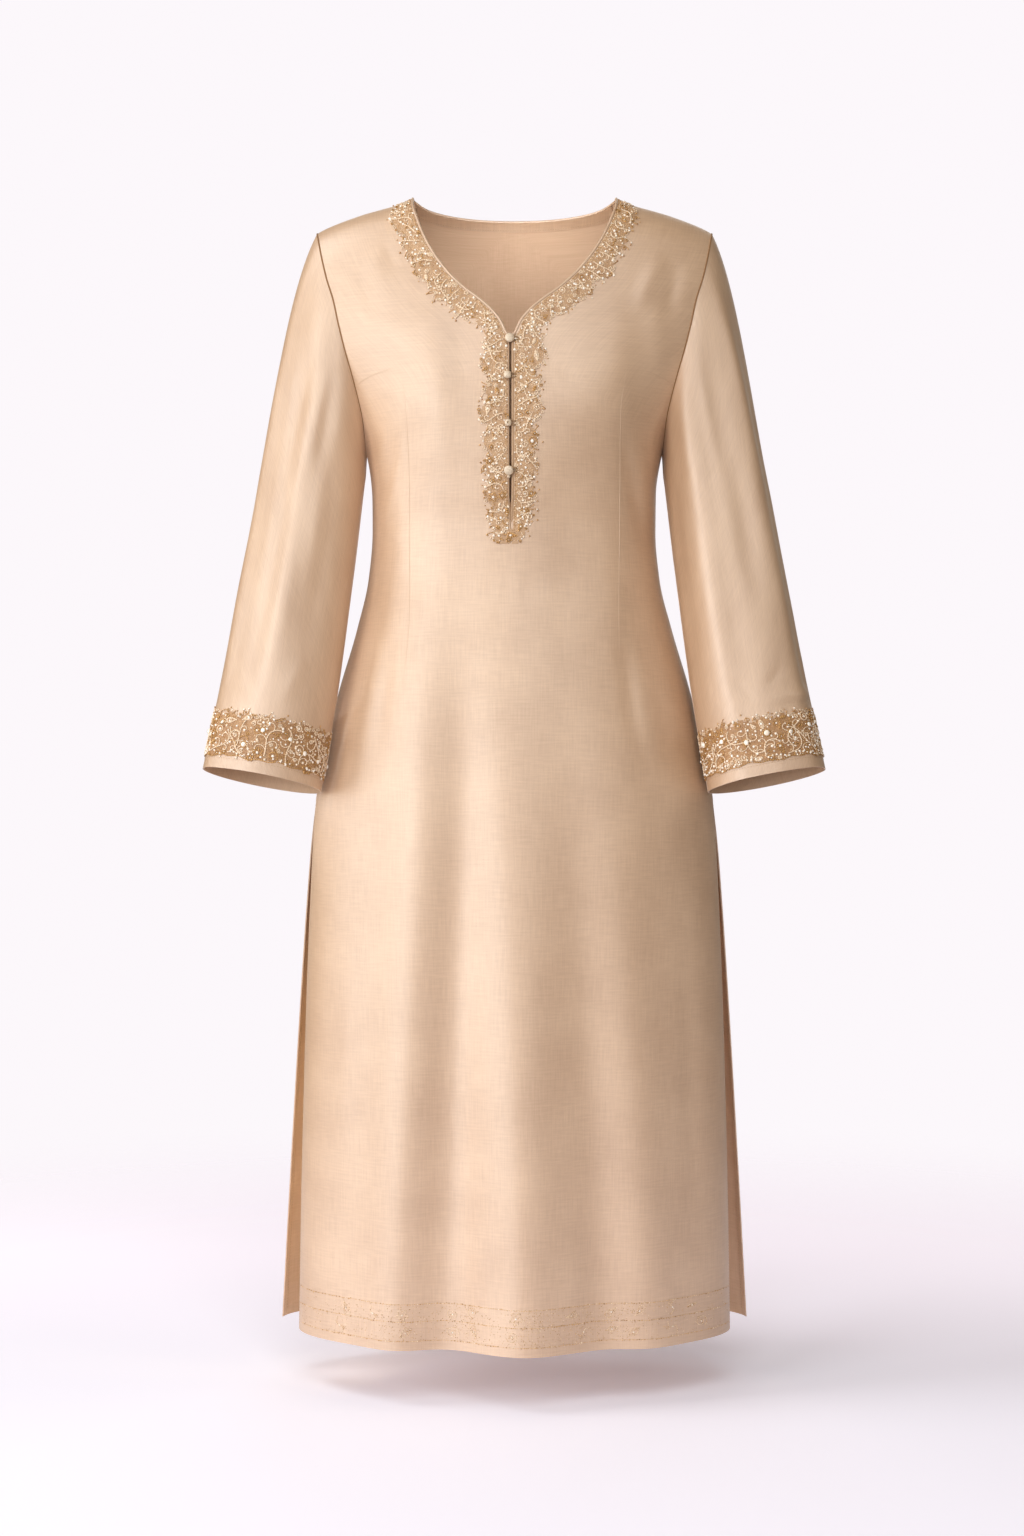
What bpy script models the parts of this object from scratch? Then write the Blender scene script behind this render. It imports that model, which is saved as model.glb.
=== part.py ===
"""Kameez: a long silk tunic with straight sleeves, shown as it is worn, hollow inside.

Metres, +Z up, the front faces -Y and the wearer's left side is at +X. The origin is the
middle of the shoulders, level with the high points of the shoulder seams. "Drop" is a
height measured down from there, as a cutter reads a pattern.
"""
import math

import bpy
import numpy as np
from mathutils import Vector

# Walls, seams and raised work
CLOTH = 0.0015
SEAM = 0.0003
RAISED = 0.0010
BAND_LIFT = 0.0009

# Lengths down the garment
HEM_DROP = 1.123
SLIT_TOP_DROP = 0.601
FRONT_OPENING_X = -0.0040
FRONT_OPENING_HALF = 0.0010
FRONT_OPENING_TOP = 0.1575

# Cross sections of the body: each is an ellipse, squarer where the power is higher
SECTION_COLUMNS = ("drop", "half_width", "front_depth", "back_depth", "power")
SECTIONS = (
    (-0.012, 0.0550, 0.0300, 0.0120, 2.0),
    (0.0000, 0.0990, 0.0450, 0.0260, 2.0),
    (0.0090, 0.1200, 0.0520, 0.0450, 2.0),
    (0.0210, 0.1605, 0.0600, 0.0570, 2.0),
    (0.0360, 0.1965, 0.0685, 0.0680, 2.0),
    (0.0560, 0.2208, 0.0770, 0.0780, 2.0),
    (0.0855, 0.2287, 0.0885, 0.0880, 2.0),
    (0.1140, 0.2237, 0.0980, 0.0950, 2.0),
    (0.1490, 0.2098, 0.1070, 0.1010, 2.0),
    (0.1960, 0.1789, 0.1125, 0.1040, 2.0),
    (0.2250, 0.1604, 0.1145, 0.1030, 2.0),
    (0.2560, 0.1470, 0.1130, 0.0990, 2.0),
    (0.3000, 0.1405, 0.1060, 0.0890, 2.0),
    (0.3350, 0.1400, 0.1000, 0.0800, 2.0),
    (0.3800, 0.1442, 0.0985, 0.0790, 2.0),
    (0.4300, 0.1565, 0.1040, 0.0870, 2.0),
    (0.5000, 0.1770, 0.1120, 0.1010, 2.05),
    (0.5600, 0.1900, 0.1165, 0.1120, 2.1),
    (0.6010, 0.1980, 0.1190, 0.1170, 2.1),
    (0.7000, 0.2035, 0.1225, 0.1210, 2.15),
    (0.8500, 0.2085, 0.1260, 0.1235, 2.15),
    (1.0000, 0.2118, 0.1285, 0.1255, 2.15),
    (1.1230, 0.2135, 0.1300, 0.1270, 2.15),
)

# Below the slit tops the two skirts part, and the back one spreads wider
SLIT_COLUMNS = ("drop", "front_edge_depth", "back_edge_depth", "back_extra_width",
                "front_power_less", "back_power_less")
SLITS = (
    (0.601, 0.000, 0.000, 0.000, 0.00, 0.00),
    (0.660, 0.003, 0.004, 0.003, 0.04, 0.10),
    (0.800, 0.010, 0.011, 0.008, 0.10, 0.28),
    (0.960, 0.016, 0.018, 0.014, 0.18, 0.42),
    (1.123, 0.021, 0.024, 0.021, 0.27, 0.52),
)

# Soft folds of the skirt and the roundness of the bust: where each starts and ends
# down the cloth, its middle and half breadth at both ends, and its height at the end
FOLD_COLUMNS = ("start", "end", "x_start", "x_end", "breadth_start", "breadth_end", "height")
FRONT_FOLDS = (
    (0.36, 1.12, -0.004, 0.012, 0.030, 0.041, 0.018),
    (0.34, 1.12, -0.070, -0.124, 0.022, 0.036, 0.008),
    (0.42, 1.12, 0.080, 0.138, 0.024, 0.032, 0.008),
    (0.44, 1.12, -0.045, -0.072, 0.018, 0.026, -0.008),
    (0.46, 1.12, 0.050, 0.090, 0.018, 0.026, -0.007),
)
BACK_FOLDS = (
    (0.40, 1.12, -0.062, -0.118, 0.026, 0.036, 0.010),
    (0.36, 1.12, 0.012, 0.020, 0.028, 0.042, 0.013),
    (0.46, 1.12, 0.078, 0.142, 0.024, 0.032, 0.008),
    (0.42, 1.12, -0.020, -0.050, 0.018, 0.030, -0.008),
    (0.48, 1.12, 0.052, 0.090, 0.018, 0.028, -0.008),
)
BUST_X = 0.080
BUST_DROP = 0.215
BUST_SPREAD = 0.046
BUST_HEIGHT = 0.006

# Rows of the cloth grids, each from its inner edge to its outer edge: along the neckline
# and the middle on one side, along the armhole, side seam and slit on the other
ROW_COLUMNS = ("inner_x", "inner_drop", "outer_x", "outer_drop")
FRONT_ROWS = (
    (0.1015, 0.0010, 0.1965, 0.0360),
    (0.1000, 0.0160, 0.1935, 0.0480),
    (0.0955, 0.0310, 0.1892, 0.0680),
    (0.0880, 0.0500, 0.1838, 0.0900),
    (0.0772, 0.0700, 0.1769, 0.1120),
    (0.0630, 0.0895, 0.1711, 0.1380),
    (0.0465, 0.1062, 0.1648, 0.1630),
    (0.0308, 0.1185, 0.1586, 0.1850),
    (0.0182, 0.1300, 0.1532, 0.2060),
    (0.0098, 0.1410, 0.1491, 0.2260),
    (0.0052, 0.1510, 0.1477, 0.2430),
    (0.0010, 0.1600, 0.1470, 0.2560),
    (0.0010, 0.1900, 0.0, 0.2750),
    (0.0010, 0.2200, 0.0, 0.2960),
    (0.0010, 0.2500, 0.0, 0.3150),
    (0.0010, 0.2780, 0.0, 0.3320),
    (0.0010, 0.3050, 0.0, 0.3490),
    (0.0000, 0.3310, 0.0, 0.3660),
    (0.0000, 0.3750, 0.0, 0.3980),
    (0.0000, 0.4250, 0.0, 0.4380),
    (0.0000, 0.4850, 0.0, 0.4900),
    (0.0000, 0.5450, 0.0, 0.5460),
    (0.0000, 0.6010, 0.0, 0.6010),
    (0.0000, 0.6800, 0.0, 0.6800),
    (0.0000, 0.7700, 0.0, 0.7700),
    (0.0000, 0.8600, 0.0, 0.8600),
    (0.0000, 0.9500, 0.0, 0.9500),
    (0.0000, 1.0400, 0.0, 1.0400),
    (0.0000, 1.1230, 0.0, 1.1230),
)
BACK_ROWS = (
    (0.1015, 0.0010, 0.1965, 0.0360),
    (0.0880, 0.0060, 0.1950, 0.0460),
    (0.0730, 0.0085, 0.1920, 0.0630),
    (0.0560, 0.0103, 0.1875, 0.0860),
    (0.0370, 0.0115, 0.1825, 0.1100),
    (0.0180, 0.0121, 0.1760, 0.1380),
    (0.0000, 0.0123, 0.1690, 0.1650),
    (0.0000, 0.0400, 0.1605, 0.1950),
    (0.0000, 0.0800, 0.1520, 0.2240),
    (0.0000, 0.1300, 0.1482, 0.2440),
    (0.0000, 0.1800, 0.1470, 0.2560),
    (0.0000, 0.2300, 0.0, 0.2850),
    (0.0000, 0.2800, 0.0, 0.3180),
    (0.0000, 0.3300, 0.0, 0.3540),
    (0.0000, 0.3850, 0.0, 0.3980),
    (0.0000, 0.4400, 0.0, 0.4450),
    (0.0000, 0.4950, 0.0, 0.4980),
    (0.0000, 0.5480, 0.0, 0.5490),
    (0.0000, 0.6010, 0.0, 0.6010),
    (0.0000, 0.7000, 0.0, 0.7000),
    (0.0000, 0.8000, 0.0, 0.8000),
    (0.0000, 0.9100, 0.0, 0.9100),
    (0.0000, 1.0200, 0.0, 1.0200),
    (0.0000, 1.1230, 0.0, 1.1230),
)
FRONT_COLUMNS = 14
BACK_COLUMNS = 12
ARMHOLE_ROWS_FRONT = 12
ARMHOLE_ROWS_BACK = 11

# The sleeve is a tube round a straight arm line, from the armpit down to the cuff
ARM_TOP = (0.1985, -0.0180, -0.2780)
ARM_CUFF = (0.2462, -0.0600, -0.5812)
ARM_OUTWARD_DEGREES = 10.6
ARM_FORWARD_DEGREES = 8.9
SLEEVE_COLUMNS = ("along", "half_width", "half_depth", "inward")
SLEEVE = (
    (0.00, 0.0505, 0.0560, 0.0000),
    (0.30, 0.0533, 0.0550, 0.0015),
    (0.65, 0.0567, 0.0525, 0.0017),
    (1.00, 0.0585, 0.0485, 0.0000),
)
SLEEVE_CAP_STEPS = (0.0, 0.08, 0.18, 0.32, 0.50, 0.72, 1.0)
SLEEVE_CAP_SHARE = 0.36
SLEEVE_TUBE_STEPS = (0.0, 0.12, 0.25, 0.40, 0.55, 0.68, 0.80, 0.90, 1.0)
SLEEVE_SEAM_GAP = 0.0004

# How the sleeve leaves the armhole: its direction under the arm, what the top of the
# shoulder adds outward, how far it turns forward and back, and how strong its curve is
CAP_LEAVES_OUTWARD = 0.10
CAP_TOP_OUTWARD = 0.38
CAP_LEAVES_SIDEWAYS = 0.16
CAP_LEAVES_DOWN = 0.90
CAP_STRENGTH = 1.2
CAP_TOP_STRENGTH_LESS = 0.55
UNDERARM_SIDESTEP = 2.0
UNDERARM_NARROWNESS = 6

# Soft folds of the sleeves: the angle round the arm where each starts and ends (0 is
# outward, 90 is forward), its share of the way down, half breadth in degrees and height
SLEEVE_FOLD_COLUMNS = ("angle", "angle_end", "start", "end", "breadth", "height")
SLEEVE_FOLDS = {
    "right": (
        (78, 84, 0.22, 0.66, 17, -0.0040),
        (52, 60, 0.26, 0.80, 16, 0.0030),
        (112, 106, 0.30, 0.72, 15, 0.0030),
        (262, 274, 0.24, 0.74, 18, -0.0035),
        (230, 238, 0.50, 0.92, 17, 0.0025),
        (40, 34, 0.62, 0.94, 15, -0.0025),
    ),
    "left": (
        (70, 74, 0.25, 0.70, 18, -0.0035),
        (46, 50, 0.24, 0.74, 16, 0.0030),
        (98, 100, 0.28, 0.78, 16, 0.0028),
        (268, 258, 0.26, 0.70, 18, -0.0035),
        (300, 292, 0.44, 0.90, 17, 0.0025),
        (24, 20, 0.66, 0.92, 14, -0.0030),
    ),
}

# The piped edge of the neckline
PIPING_RADIUS = 0.0012
PIPING_INSET = 0.0016
PIPING_LOWEST = 0.1515
BACK_NECK_ROWS = 7

# The strip that finishes the back neckline inside
FACING_DEPTH = 0.0048
FACING_EDGE = 0.0004
FACING_THICKNESS = 0.0008
FACING_GAP = 0.0006
FACING_COLUMNS = 2

# Raised embroidery round the neck opening: each lobe of its scalloped outer edge has its
# place along the edge from the shoulder, its half length and how far it reaches out
LOBE_COLUMNS = ("place", "half_length", "reach")
NECK_LOBES = {
    "right": (
        (0.006, 0.020, 0.019), (0.030, 0.022, 0.028), (0.058, 0.020, 0.027),
        (0.084, 0.019, 0.029), (0.108, 0.020, 0.030), (0.134, 0.020, 0.029),
        (0.158, 0.019, 0.024), (0.190, 0.017, 0.029), (0.214, 0.017, 0.031),
        (0.240, 0.018, 0.028), (0.262, 0.017, 0.032), (0.288, 0.018, 0.029),
        (0.313, 0.018, 0.028), (0.338, 0.017, 0.027), (0.360, 0.015, 0.022),
        (0.377, 0.015, 0.017),
    ),
    "left": (
        (0.004, 0.020, 0.016), (0.027, 0.022, 0.026), (0.054, 0.021, 0.027),
        (0.082, 0.020, 0.030), (0.110, 0.019, 0.028), (0.132, 0.020, 0.028),
        (0.156, 0.019, 0.025), (0.187, 0.018, 0.030), (0.211, 0.018, 0.036),
        (0.238, 0.017, 0.032), (0.262, 0.018, 0.033), (0.290, 0.018, 0.029),
        (0.316, 0.017, 0.028), (0.340, 0.017, 0.026), (0.361, 0.014, 0.021),
        (0.377, 0.015, 0.014),
    ),
}
BAND_TIP_DROP = 0.3550
BAND_STEP = 0.006
BAND_EDGE_INSET = 0.0006
BAND_LEAST_WIDTH = 0.004
BAND_COLUMNS = 2

# Raised embroidery round each cuff
CUFF_BAND_BOTTOM = 0.011
CUFF_BAND_TOP = 0.056
CUFF_BAND_LOBE = 0.004
CUFF_LOBES = 18
CUFF_AROUND = 54
CUFF_BAND_ROWS = 3

# Covered buttons on short shanks, and the thread loops that close over them
BUTTON_COLUMNS = ("x", "drop", "diameter")
BUTTONS = (
    (-0.0048, 0.1590, 0.0090),
    (-0.0068, 0.1948, 0.0068),
    (-0.0062, 0.2402, 0.0066),
    (-0.0056, 0.2845, 0.0092),
)
SHANK_RADIUS = 0.0012
SHANK_HEIGHT = 0.0017
BUTTON_HEIGHT = 0.0032
BUTTON_EDGE = 0.0008
BUTTON_UNDERSIDE = 0.85
BUTTON_SIDES = 16
DOME_STEPS = 5
LOOP_RADIUS = 0.0005
LOOP_LEG = 0.0080
LOOP_STEPS = 7

# Cuts and slopes that are probed a short way off the cloth's edge
NORMAL_REACH = 0.0002
PROBE_SHARE = 0.97
PROBE_DROP = 0.01
SHARP_DEGREES = 40
WELD_DECIMALS = 6
SCREW_MERGE = 0.00001

# Finishes: colour, roughness and how metallic each looks
CLOTH_COLOUR = (0.62, 0.45, 0.30, 1.0)
THREAD_COLOUR = (0.55, 0.38, 0.17, 1.0)
BUTTON_COLOUR = (0.78, 0.66, 0.50, 1.0)
CLOTH_ROUGHNESS = 0.45
THREAD_ROUGHNESS = 0.5
THREAD_METALLIC = 0.3


def unit(vectors):
    """The same directions with a length of one."""
    return vectors / np.linalg.norm(vectors, axis=-1, keepdims=True)


def entries(table, columns):
    """Each row of a table as values under its columns' names."""
    return [dict(zip(columns, row)) for row in table]


def named(table, columns, name):
    """The column of a table that has the given name."""
    return np.array([row[columns.index(name)] for row in table], dtype=float)


def smooth(keys, values, at):
    """A smooth curve through a table's values that never swings past them."""
    step = np.diff(keys)
    slope = np.diff(values) / step
    before, after = slope[:-1], slope[1:]
    same_way = before * after > 0.0
    safe_before = np.where(same_way, before, 1.0)
    safe_after = np.where(same_way, after, 1.0)
    near, far = 2 * step[1:] + step[:-1], step[1:] + 2 * step[:-1]
    middle = np.where(same_way, (near + far) / (near / safe_before + far / safe_after), 0.0)
    tangent = np.concatenate([slope[:1], middle, slope[-1:]])
    at = np.asarray(at, dtype=float)
    cell = np.clip(np.searchsorted(keys, at, side="right") - 1, 0, len(keys) - 2)
    t = (at - keys[cell]) / step[cell]
    return ((1 + 2 * t) * (1 - t) ** 2 * values[cell] + t * (1 - t) ** 2 * step[cell] * tangent[cell]
            + t * t * (3 - 2 * t) * values[cell + 1] + t * t * (t - 1) * step[cell] * tangent[cell + 1])


def read(table, columns, name, at):
    """A named column of a table, read smoothly at any value of its first column."""
    return smooth(named(table, columns, columns[0]), named(table, columns, name), at)


def ease(value):
    """Rises softly from 0 to 1."""
    value = np.clip(value, 0.0, 1.0)
    return value * value * (3 - 2 * value)


def folds(table, x, drop):
    """How far the folds of one panel stand out at each point."""
    total = np.zeros(np.broadcast(x, drop).shape)
    for fold in entries(table, FOLD_COLUMNS):
        part = np.clip((drop - fold["start"]) / (fold["end"] - fold["start"]), 0.0, 1.0)
        middle = fold["x_start"] + (fold["x_end"] - fold["x_start"]) * part
        breadth = fold["breadth_start"] + (fold["breadth_end"] - fold["breadth_start"]) * part
        total = total + fold["height"] * ease(part) * np.exp(-((x - middle) / breadth) ** 2)
    return total


def half_width(face, drop):
    """Half the body's width at the side seam or slit edge, for one face."""
    extra = 0.0
    if face == "back":
        extra = read(SLITS, SLIT_COLUMNS, "back_extra_width", np.clip(drop, SLIT_TOP_DROP, HEM_DROP))
    return read(SECTIONS, SECTION_COLUMNS, "half_width", drop) + extra


def shape(face, x, drop):
    """Edge depth, depth, half width and power of one face's cross section."""
    open_drop = np.clip(drop, SLIT_TOP_DROP, HEM_DROP)
    edge = read(SLITS, SLIT_COLUMNS, face + "_edge_depth", open_drop)
    depth = read(SECTIONS, SECTION_COLUMNS, face + "_depth", drop)
    power = read(SECTIONS, SECTION_COLUMNS, "power", drop)
    if face == "front":
        bust_x = (np.abs(x) - BUST_X) / BUST_SPREAD
        bust_drop = (drop - BUST_DROP) / BUST_SPREAD
        depth = depth + folds(FRONT_FOLDS, x, drop)
        depth = depth + BUST_HEIGHT * np.exp(-bust_x ** 2 - bust_drop ** 2)
    else:
        depth = depth + folds(BACK_FOLDS, x, drop)
    power = power - read(SLITS, SLIT_COLUMNS, face + "_power_less", open_drop)
    return edge, depth, half_width(face, drop), power


def surface(face, x, drop):
    """Points of the front or back cloth, half a seam clear of the side's middle plane."""
    edge, depth, width, power = shape(face, x, drop)
    across = np.clip(1 - (np.abs(x) / width) ** power, 0.0, 1.0) ** (1 / power)
    away = edge + (depth - edge) * across + SEAM / 2
    side = -1.0 if face == "front" else 1.0
    return np.stack([x + 0 * drop, side * away, 0 * x - drop], axis=-1)


def level(face, point):
    """Grows outwards through the cloth, and is the same all over its surface."""
    x, y, z = point[..., 0], point[..., 1], point[..., 2]
    edge, depth, width, power = shape(face, x, -z)
    outward = (np.abs(y) - SEAM / 2 - edge) / (depth - edge)
    return (np.abs(x) / width) ** power + np.abs(outward) ** power


def outward(face, points):
    """Directions square to the cloth, pointing out of the garment."""
    steps = np.eye(3) * NORMAL_REACH
    return unit(np.stack([level(face, points + s) - level(face, points - s) for s in steps], axis=-1))


def material(name, colour, roughness, metallic=0.0):
    """A plain finish for the solids."""
    finish = bpy.data.materials.new(name)
    finish.use_nodes = True
    shader = finish.node_tree.nodes["Principled BSDF"]
    shader.inputs["Base Color"].default_value = colour
    shader.inputs["Roughness"].default_value = roughness
    shader.inputs["Metallic"].default_value = metallic
    return finish


def grid_faces(rows, columns, first=0, closed=False):
    """Four cornered faces of a grid of points, wrapped round when it is closed."""
    row, column = np.mgrid[0:rows - 1, 0:columns if closed else columns - 1]
    ahead = (column + 1) % columns
    a, b = row * columns + column, row * columns + ahead
    c, d = (row + 1) * columns + ahead, (row + 1) * columns + column
    return first + np.stack([a, b, c, d], axis=-1).reshape(-1, 4)


def cloth_wall(name, points, normals, faces, thickness, finish, collection):
    """A closed wall: the outer face, the same points moved in, and a rim round every edge."""
    places = np.round(points, WELD_DECIMALS)
    first, weld = np.unique(places, axis=0, return_index=True, return_inverse=True)[1:]
    weld = weld.reshape(-1)
    outer = points[first]
    inner = outer - thickness * normals[first]
    count = len(outer)
    top = []
    for face in weld[faces].tolist():
        corners = [c for i, c in enumerate(face) if c != face[i - 1]]
        if len(corners) > 2:
            top.append(corners)
    edges = {(f[i - 1], f[i]) for f in top for i in range(len(f))}
    rim = [(b, a, a + count, b + count) for a, b in sorted(edges) if (b, a) not in edges]
    bottom = [[c + count for c in reversed(face)] for face in top]
    mesh = bpy.data.meshes.new(name)
    mesh.from_pydata(np.vstack([outer, inner]).tolist(), [], top + bottom + rim)
    mesh.materials.append(finish)
    mesh.shade_smooth()
    mesh.set_sharp_from_angle(angle=math.radians(SHARP_DEGREES))
    piece = bpy.data.objects.new(name, mesh)
    collection.objects.link(piece)
    return piece


def row_grid(face, table, columns, side):
    """Places (x, drop) of one half of a panel, from its inner edge out to its side."""
    inner_x = named(table, ROW_COLUMNS, "inner_x")
    inner_drop = named(table, ROW_COLUMNS, "inner_drop")
    outer_x = named(table, ROW_COLUMNS, "outer_x")
    outer_drop = named(table, ROW_COLUMNS, "outer_drop")
    outer_x = np.where(outer_x > 0.0, outer_x, half_width(face, outer_drop))
    share = np.sin(np.linspace(0.0, math.pi / 2, columns + 1))
    drop = inner_drop[:, None] + (outer_drop - inner_drop)[:, None] * share
    lean = FRONT_OPENING_X * ease(inner_drop / FRONT_OPENING_TOP) if face == "front" else 0.0
    start, end = side * inner_x + lean, side * outer_x
    x = start[:, None] + (end - start)[:, None] * share
    limit = half_width(face, drop)
    x[0] = side * limit[0]
    return np.clip(x, -limit, limit), drop


def panel(name, face, table, columns, finish, collection):
    """The front or the back, cut whole: two half grids that share the middle line."""
    points, normals, faces = [], [], []
    for side in (-1.0, 1.0):
        x, drop = row_grid(face, table, columns, side)
        cloth = surface(face, x, drop)
        half = grid_faces(len(table), columns + 1, first=sum(len(p) for p in points))
        if (side > 0) == (face == "front"):
            half = half[:, ::-1]
        points.append(cloth.reshape(-1, 3))
        normals.append(outward(face, cloth).reshape(-1, 3))
        faces.append(half)
    return cloth_wall(name, np.vstack(points), np.vstack(normals), np.vstack(faces), CLOTH, finish,
                      collection)


def armhole_half(face, table, rows):
    """A panel's own row ends round the wearer's left armhole: points, ways off the cloth, angles."""
    x = named(table, ROW_COLUMNS, "outer_x")[:rows]
    drop = named(table, ROW_COLUMNS, "outer_drop")[:rows]
    edge = surface(face, x, drop)
    off = unit(np.cross(np.gradient(edge, axis=0), outward(face, edge)))
    inside = surface(face, PROBE_SHARE * x, drop + PROBE_DROP)
    off *= np.sign(np.sum(off * (edge - inside), axis=1, keepdims=True))
    length = np.concatenate([[0.0], np.cumsum(np.linalg.norm(np.diff(edge, axis=0), axis=1))])
    return edge, off, math.pi * length / length[-1]


def armhole():
    """The whole armhole as a ring, from the shoulder tip down the front and up the back."""
    front, front_off, front_angle = armhole_half("front", FRONT_ROWS, ARMHOLE_ROWS_FRONT)
    back, back_off, back_angle = armhole_half("back", BACK_ROWS, ARMHOLE_ROWS_BACK)
    for end in (0, -1):
        front[end] = (front[end] + back[end]) / 2
        front_off[end] = unit(front_off[end] + back_off[end])
    ring = np.vstack([front, back[-2:0:-1]])
    off = np.vstack([front_off, back_off[-2:0:-1]])
    angle = np.concatenate([front_angle, 2 * math.pi - back_angle[-2:0:-1]])
    low = ((1 - np.cos(angle)) / 2) ** UNDERARM_NARROWNESS
    off = unit(off + UNDERARM_SIDESTEP * low[:, None] * np.array([1.0, 0.0, 0.0]))
    return ring, off, angle


def arm_axes():
    """Directions across the arm, outward and forward, square to the arm line."""
    outward_angle, forward_angle = math.radians(ARM_OUTWARD_DEGREES), math.radians(ARM_FORWARD_DEGREES)
    across = np.array([math.cos(outward_angle), 0.0, math.sin(outward_angle)])
    forward = np.array([0.0, -math.cos(forward_angle), math.sin(forward_angle)])
    return across, forward


def arm_ring(along, angle):
    """Points of the sleeve's tube, at a share of the way down and an angle round it."""
    across, forward = arm_axes()
    along, angle = along[..., None], angle[..., None]
    middle = np.array(ARM_TOP) + (np.array(ARM_CUFF) - np.array(ARM_TOP)) * along
    wide = read(SLEEVE, SLEEVE_COLUMNS, "half_width", along)
    deep = read(SLEEVE, SLEEVE_COLUMNS, "half_depth", along)
    middle = middle - read(SLEEVE, SLEEVE_COLUMNS, "inward", along) * across
    return middle + wide * np.cos(angle) * across + deep * np.sin(angle) * forward


def sleeve_cap(steps):
    """Curves that leave the armhole outward and run into the top of the sleeve's tube."""
    seam, off, angle = armhole()
    seam = seam + SLEEVE_SEAM_GAP * off
    top = (1 + np.cos(angle)) / 2
    leave = unit(np.stack([CAP_LEAVES_OUTWARD + CAP_TOP_OUTWARD * top,
                           -CAP_LEAVES_SIDEWAYS * np.sin(angle),
                           0.0 * angle - CAP_LEAVES_DOWN], axis=-1))
    strength = (CAP_STRENGTH - CAP_TOP_STRENGTH_LESS * top)[:, None]
    ring = arm_ring(0 * angle, angle)
    arrive = unit(np.array(ARM_CUFF) - np.array(ARM_TOP))
    reach = np.linalg.norm(ring - seam, axis=-1, keepdims=True)
    t = np.array(steps)[:, None, None]
    return ((1 + 2 * t) * (1 - t) ** 2 * seam + t * (1 - t) ** 2 * strength * reach * leave
            + t * t * (3 - 2 * t) * ring + t * t * (t - 1) * reach * arrive)


def grid_normals(points):
    """Directions square to a tube's grid of points, pointing out."""
    around = np.roll(points, -1, axis=1) - np.roll(points, 1, axis=1)
    along = np.gradient(points, axis=0)
    return unit(np.cross(around, along))


def sleeve_grid(side, cap_steps, tube_steps):
    """One folded sleeve from armhole to cuff, on the wearer's left, and its outward directions."""
    off, angle = armhole()[1:]
    tube_along = np.array(tube_steps)[1:, None]
    tube = arm_ring(tube_along + 0 * angle, angle + 0 * tube_along)
    points = np.concatenate([sleeve_cap(cap_steps), tube])
    along = np.concatenate([SLEEVE_CAP_SHARE * np.array(cap_steps),
                            SLEEVE_CAP_SHARE + (1 - SLEEVE_CAP_SHARE) * np.array(tube_steps)[1:]])
    lift = np.zeros((len(along), len(angle)))
    for fold in entries(SLEEVE_FOLDS[side], SLEEVE_FOLD_COLUMNS):
        part = np.clip((along - fold["start"]) / (fold["end"] - fold["start"]), 0.0, 1.0)
        middle = np.radians(fold["angle"] + (fold["angle_end"] - fold["angle"]) * part)[:, None]
        apart = np.angle(np.exp(1j * (angle - middle)))
        fade = (np.sin(math.pi * part) ** 2)[:, None]
        lift += fold["height"] * fade * np.exp(-(apart / math.radians(fold["breadth"])) ** 2)
    points = points + lift[..., None] * grid_normals(points)
    normals = grid_normals(points)
    toward_body = np.clip(np.sum(normals[0] * off, axis=-1, keepdims=True), 0.0, None)
    normals[0] = unit(normals[0] - toward_body * off)
    return points, normals


def mirror(points, side):
    """The wearer's right is the left turned over."""
    return points * np.array([1.0 if side == "left" else -1.0, 1.0, 1.0])


def sleeve(side, finish, collection):
    """One sleeve: a tube of cloth, open at the armhole and at the cuff."""
    points, normals = sleeve_grid(side, SLEEVE_CAP_STEPS, SLEEVE_TUBE_STEPS)
    faces = grid_faces(points.shape[0], points.shape[1], closed=True)
    if side == "right":
        faces = faces[:, ::-1]
    return cloth_wall("sleeve_" + side, mirror(points, side).reshape(-1, 3),
                      mirror(normals, side).reshape(-1, 3), faces, CLOTH, finish, collection)


def cuff_band(side, finish, collection):
    """Raised embroidery all round the cuff, with a scalloped upper edge."""
    angle = np.linspace(0.0, 2 * math.pi, CUFF_AROUND, endpoint=False)
    length = np.linalg.norm(np.array(ARM_CUFF) - np.array(ARM_TOP))
    scallop = CUFF_BAND_LOBE * np.abs(np.sin(CUFF_LOBES * angle / 2))
    share = np.linspace(0.0, 1.0, CUFF_BAND_ROWS)[:, None]
    height = CUFF_BAND_TOP - CUFF_BAND_LOBE + scallop
    up = height + (CUFF_BAND_BOTTOM - height) * share
    cloth = arm_ring(1 - up / length, angle + 0 * share)
    normals = grid_normals(cloth)
    points = cloth + (BAND_LIFT + RAISED) * normals
    faces = grid_faces(CUFF_BAND_ROWS, CUFF_AROUND, closed=True)
    if side == "right":
        faces = faces[:, ::-1]
    return cloth_wall("cuff_embroidery_" + side, mirror(points, side).reshape(-1, 3),
                      mirror(normals, side).reshape(-1, 3), faces, RAISED, finish, collection)


def opening_edge(side, step):
    """The front neck edge and opening edge from the shoulder down, at even steps."""
    above = named(FRONT_ROWS, ROW_COLUMNS, "inner_drop") <= FRONT_OPENING_TOP
    x = named(FRONT_ROWS, ROW_COLUMNS, "inner_x")[above]
    drop = named(FRONT_ROWS, ROW_COLUMNS, "inner_drop")[above]
    x = np.append(x, [FRONT_OPENING_HALF, FRONT_OPENING_HALF])
    drop = np.append(drop, [FRONT_OPENING_TOP, BAND_TIP_DROP])
    length = np.concatenate([[0.0], np.cumsum(np.hypot(np.diff(x), np.diff(drop)))])
    at = np.linspace(0.0, length[-1], int(round(length[-1] / step)) + 1)
    line_x, line_drop = smooth(length, x, at), smooth(length, drop, at)
    lean = FRONT_OPENING_X * ease(line_drop / FRONT_OPENING_TOP)
    return at, side * line_x + lean, line_drop


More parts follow.
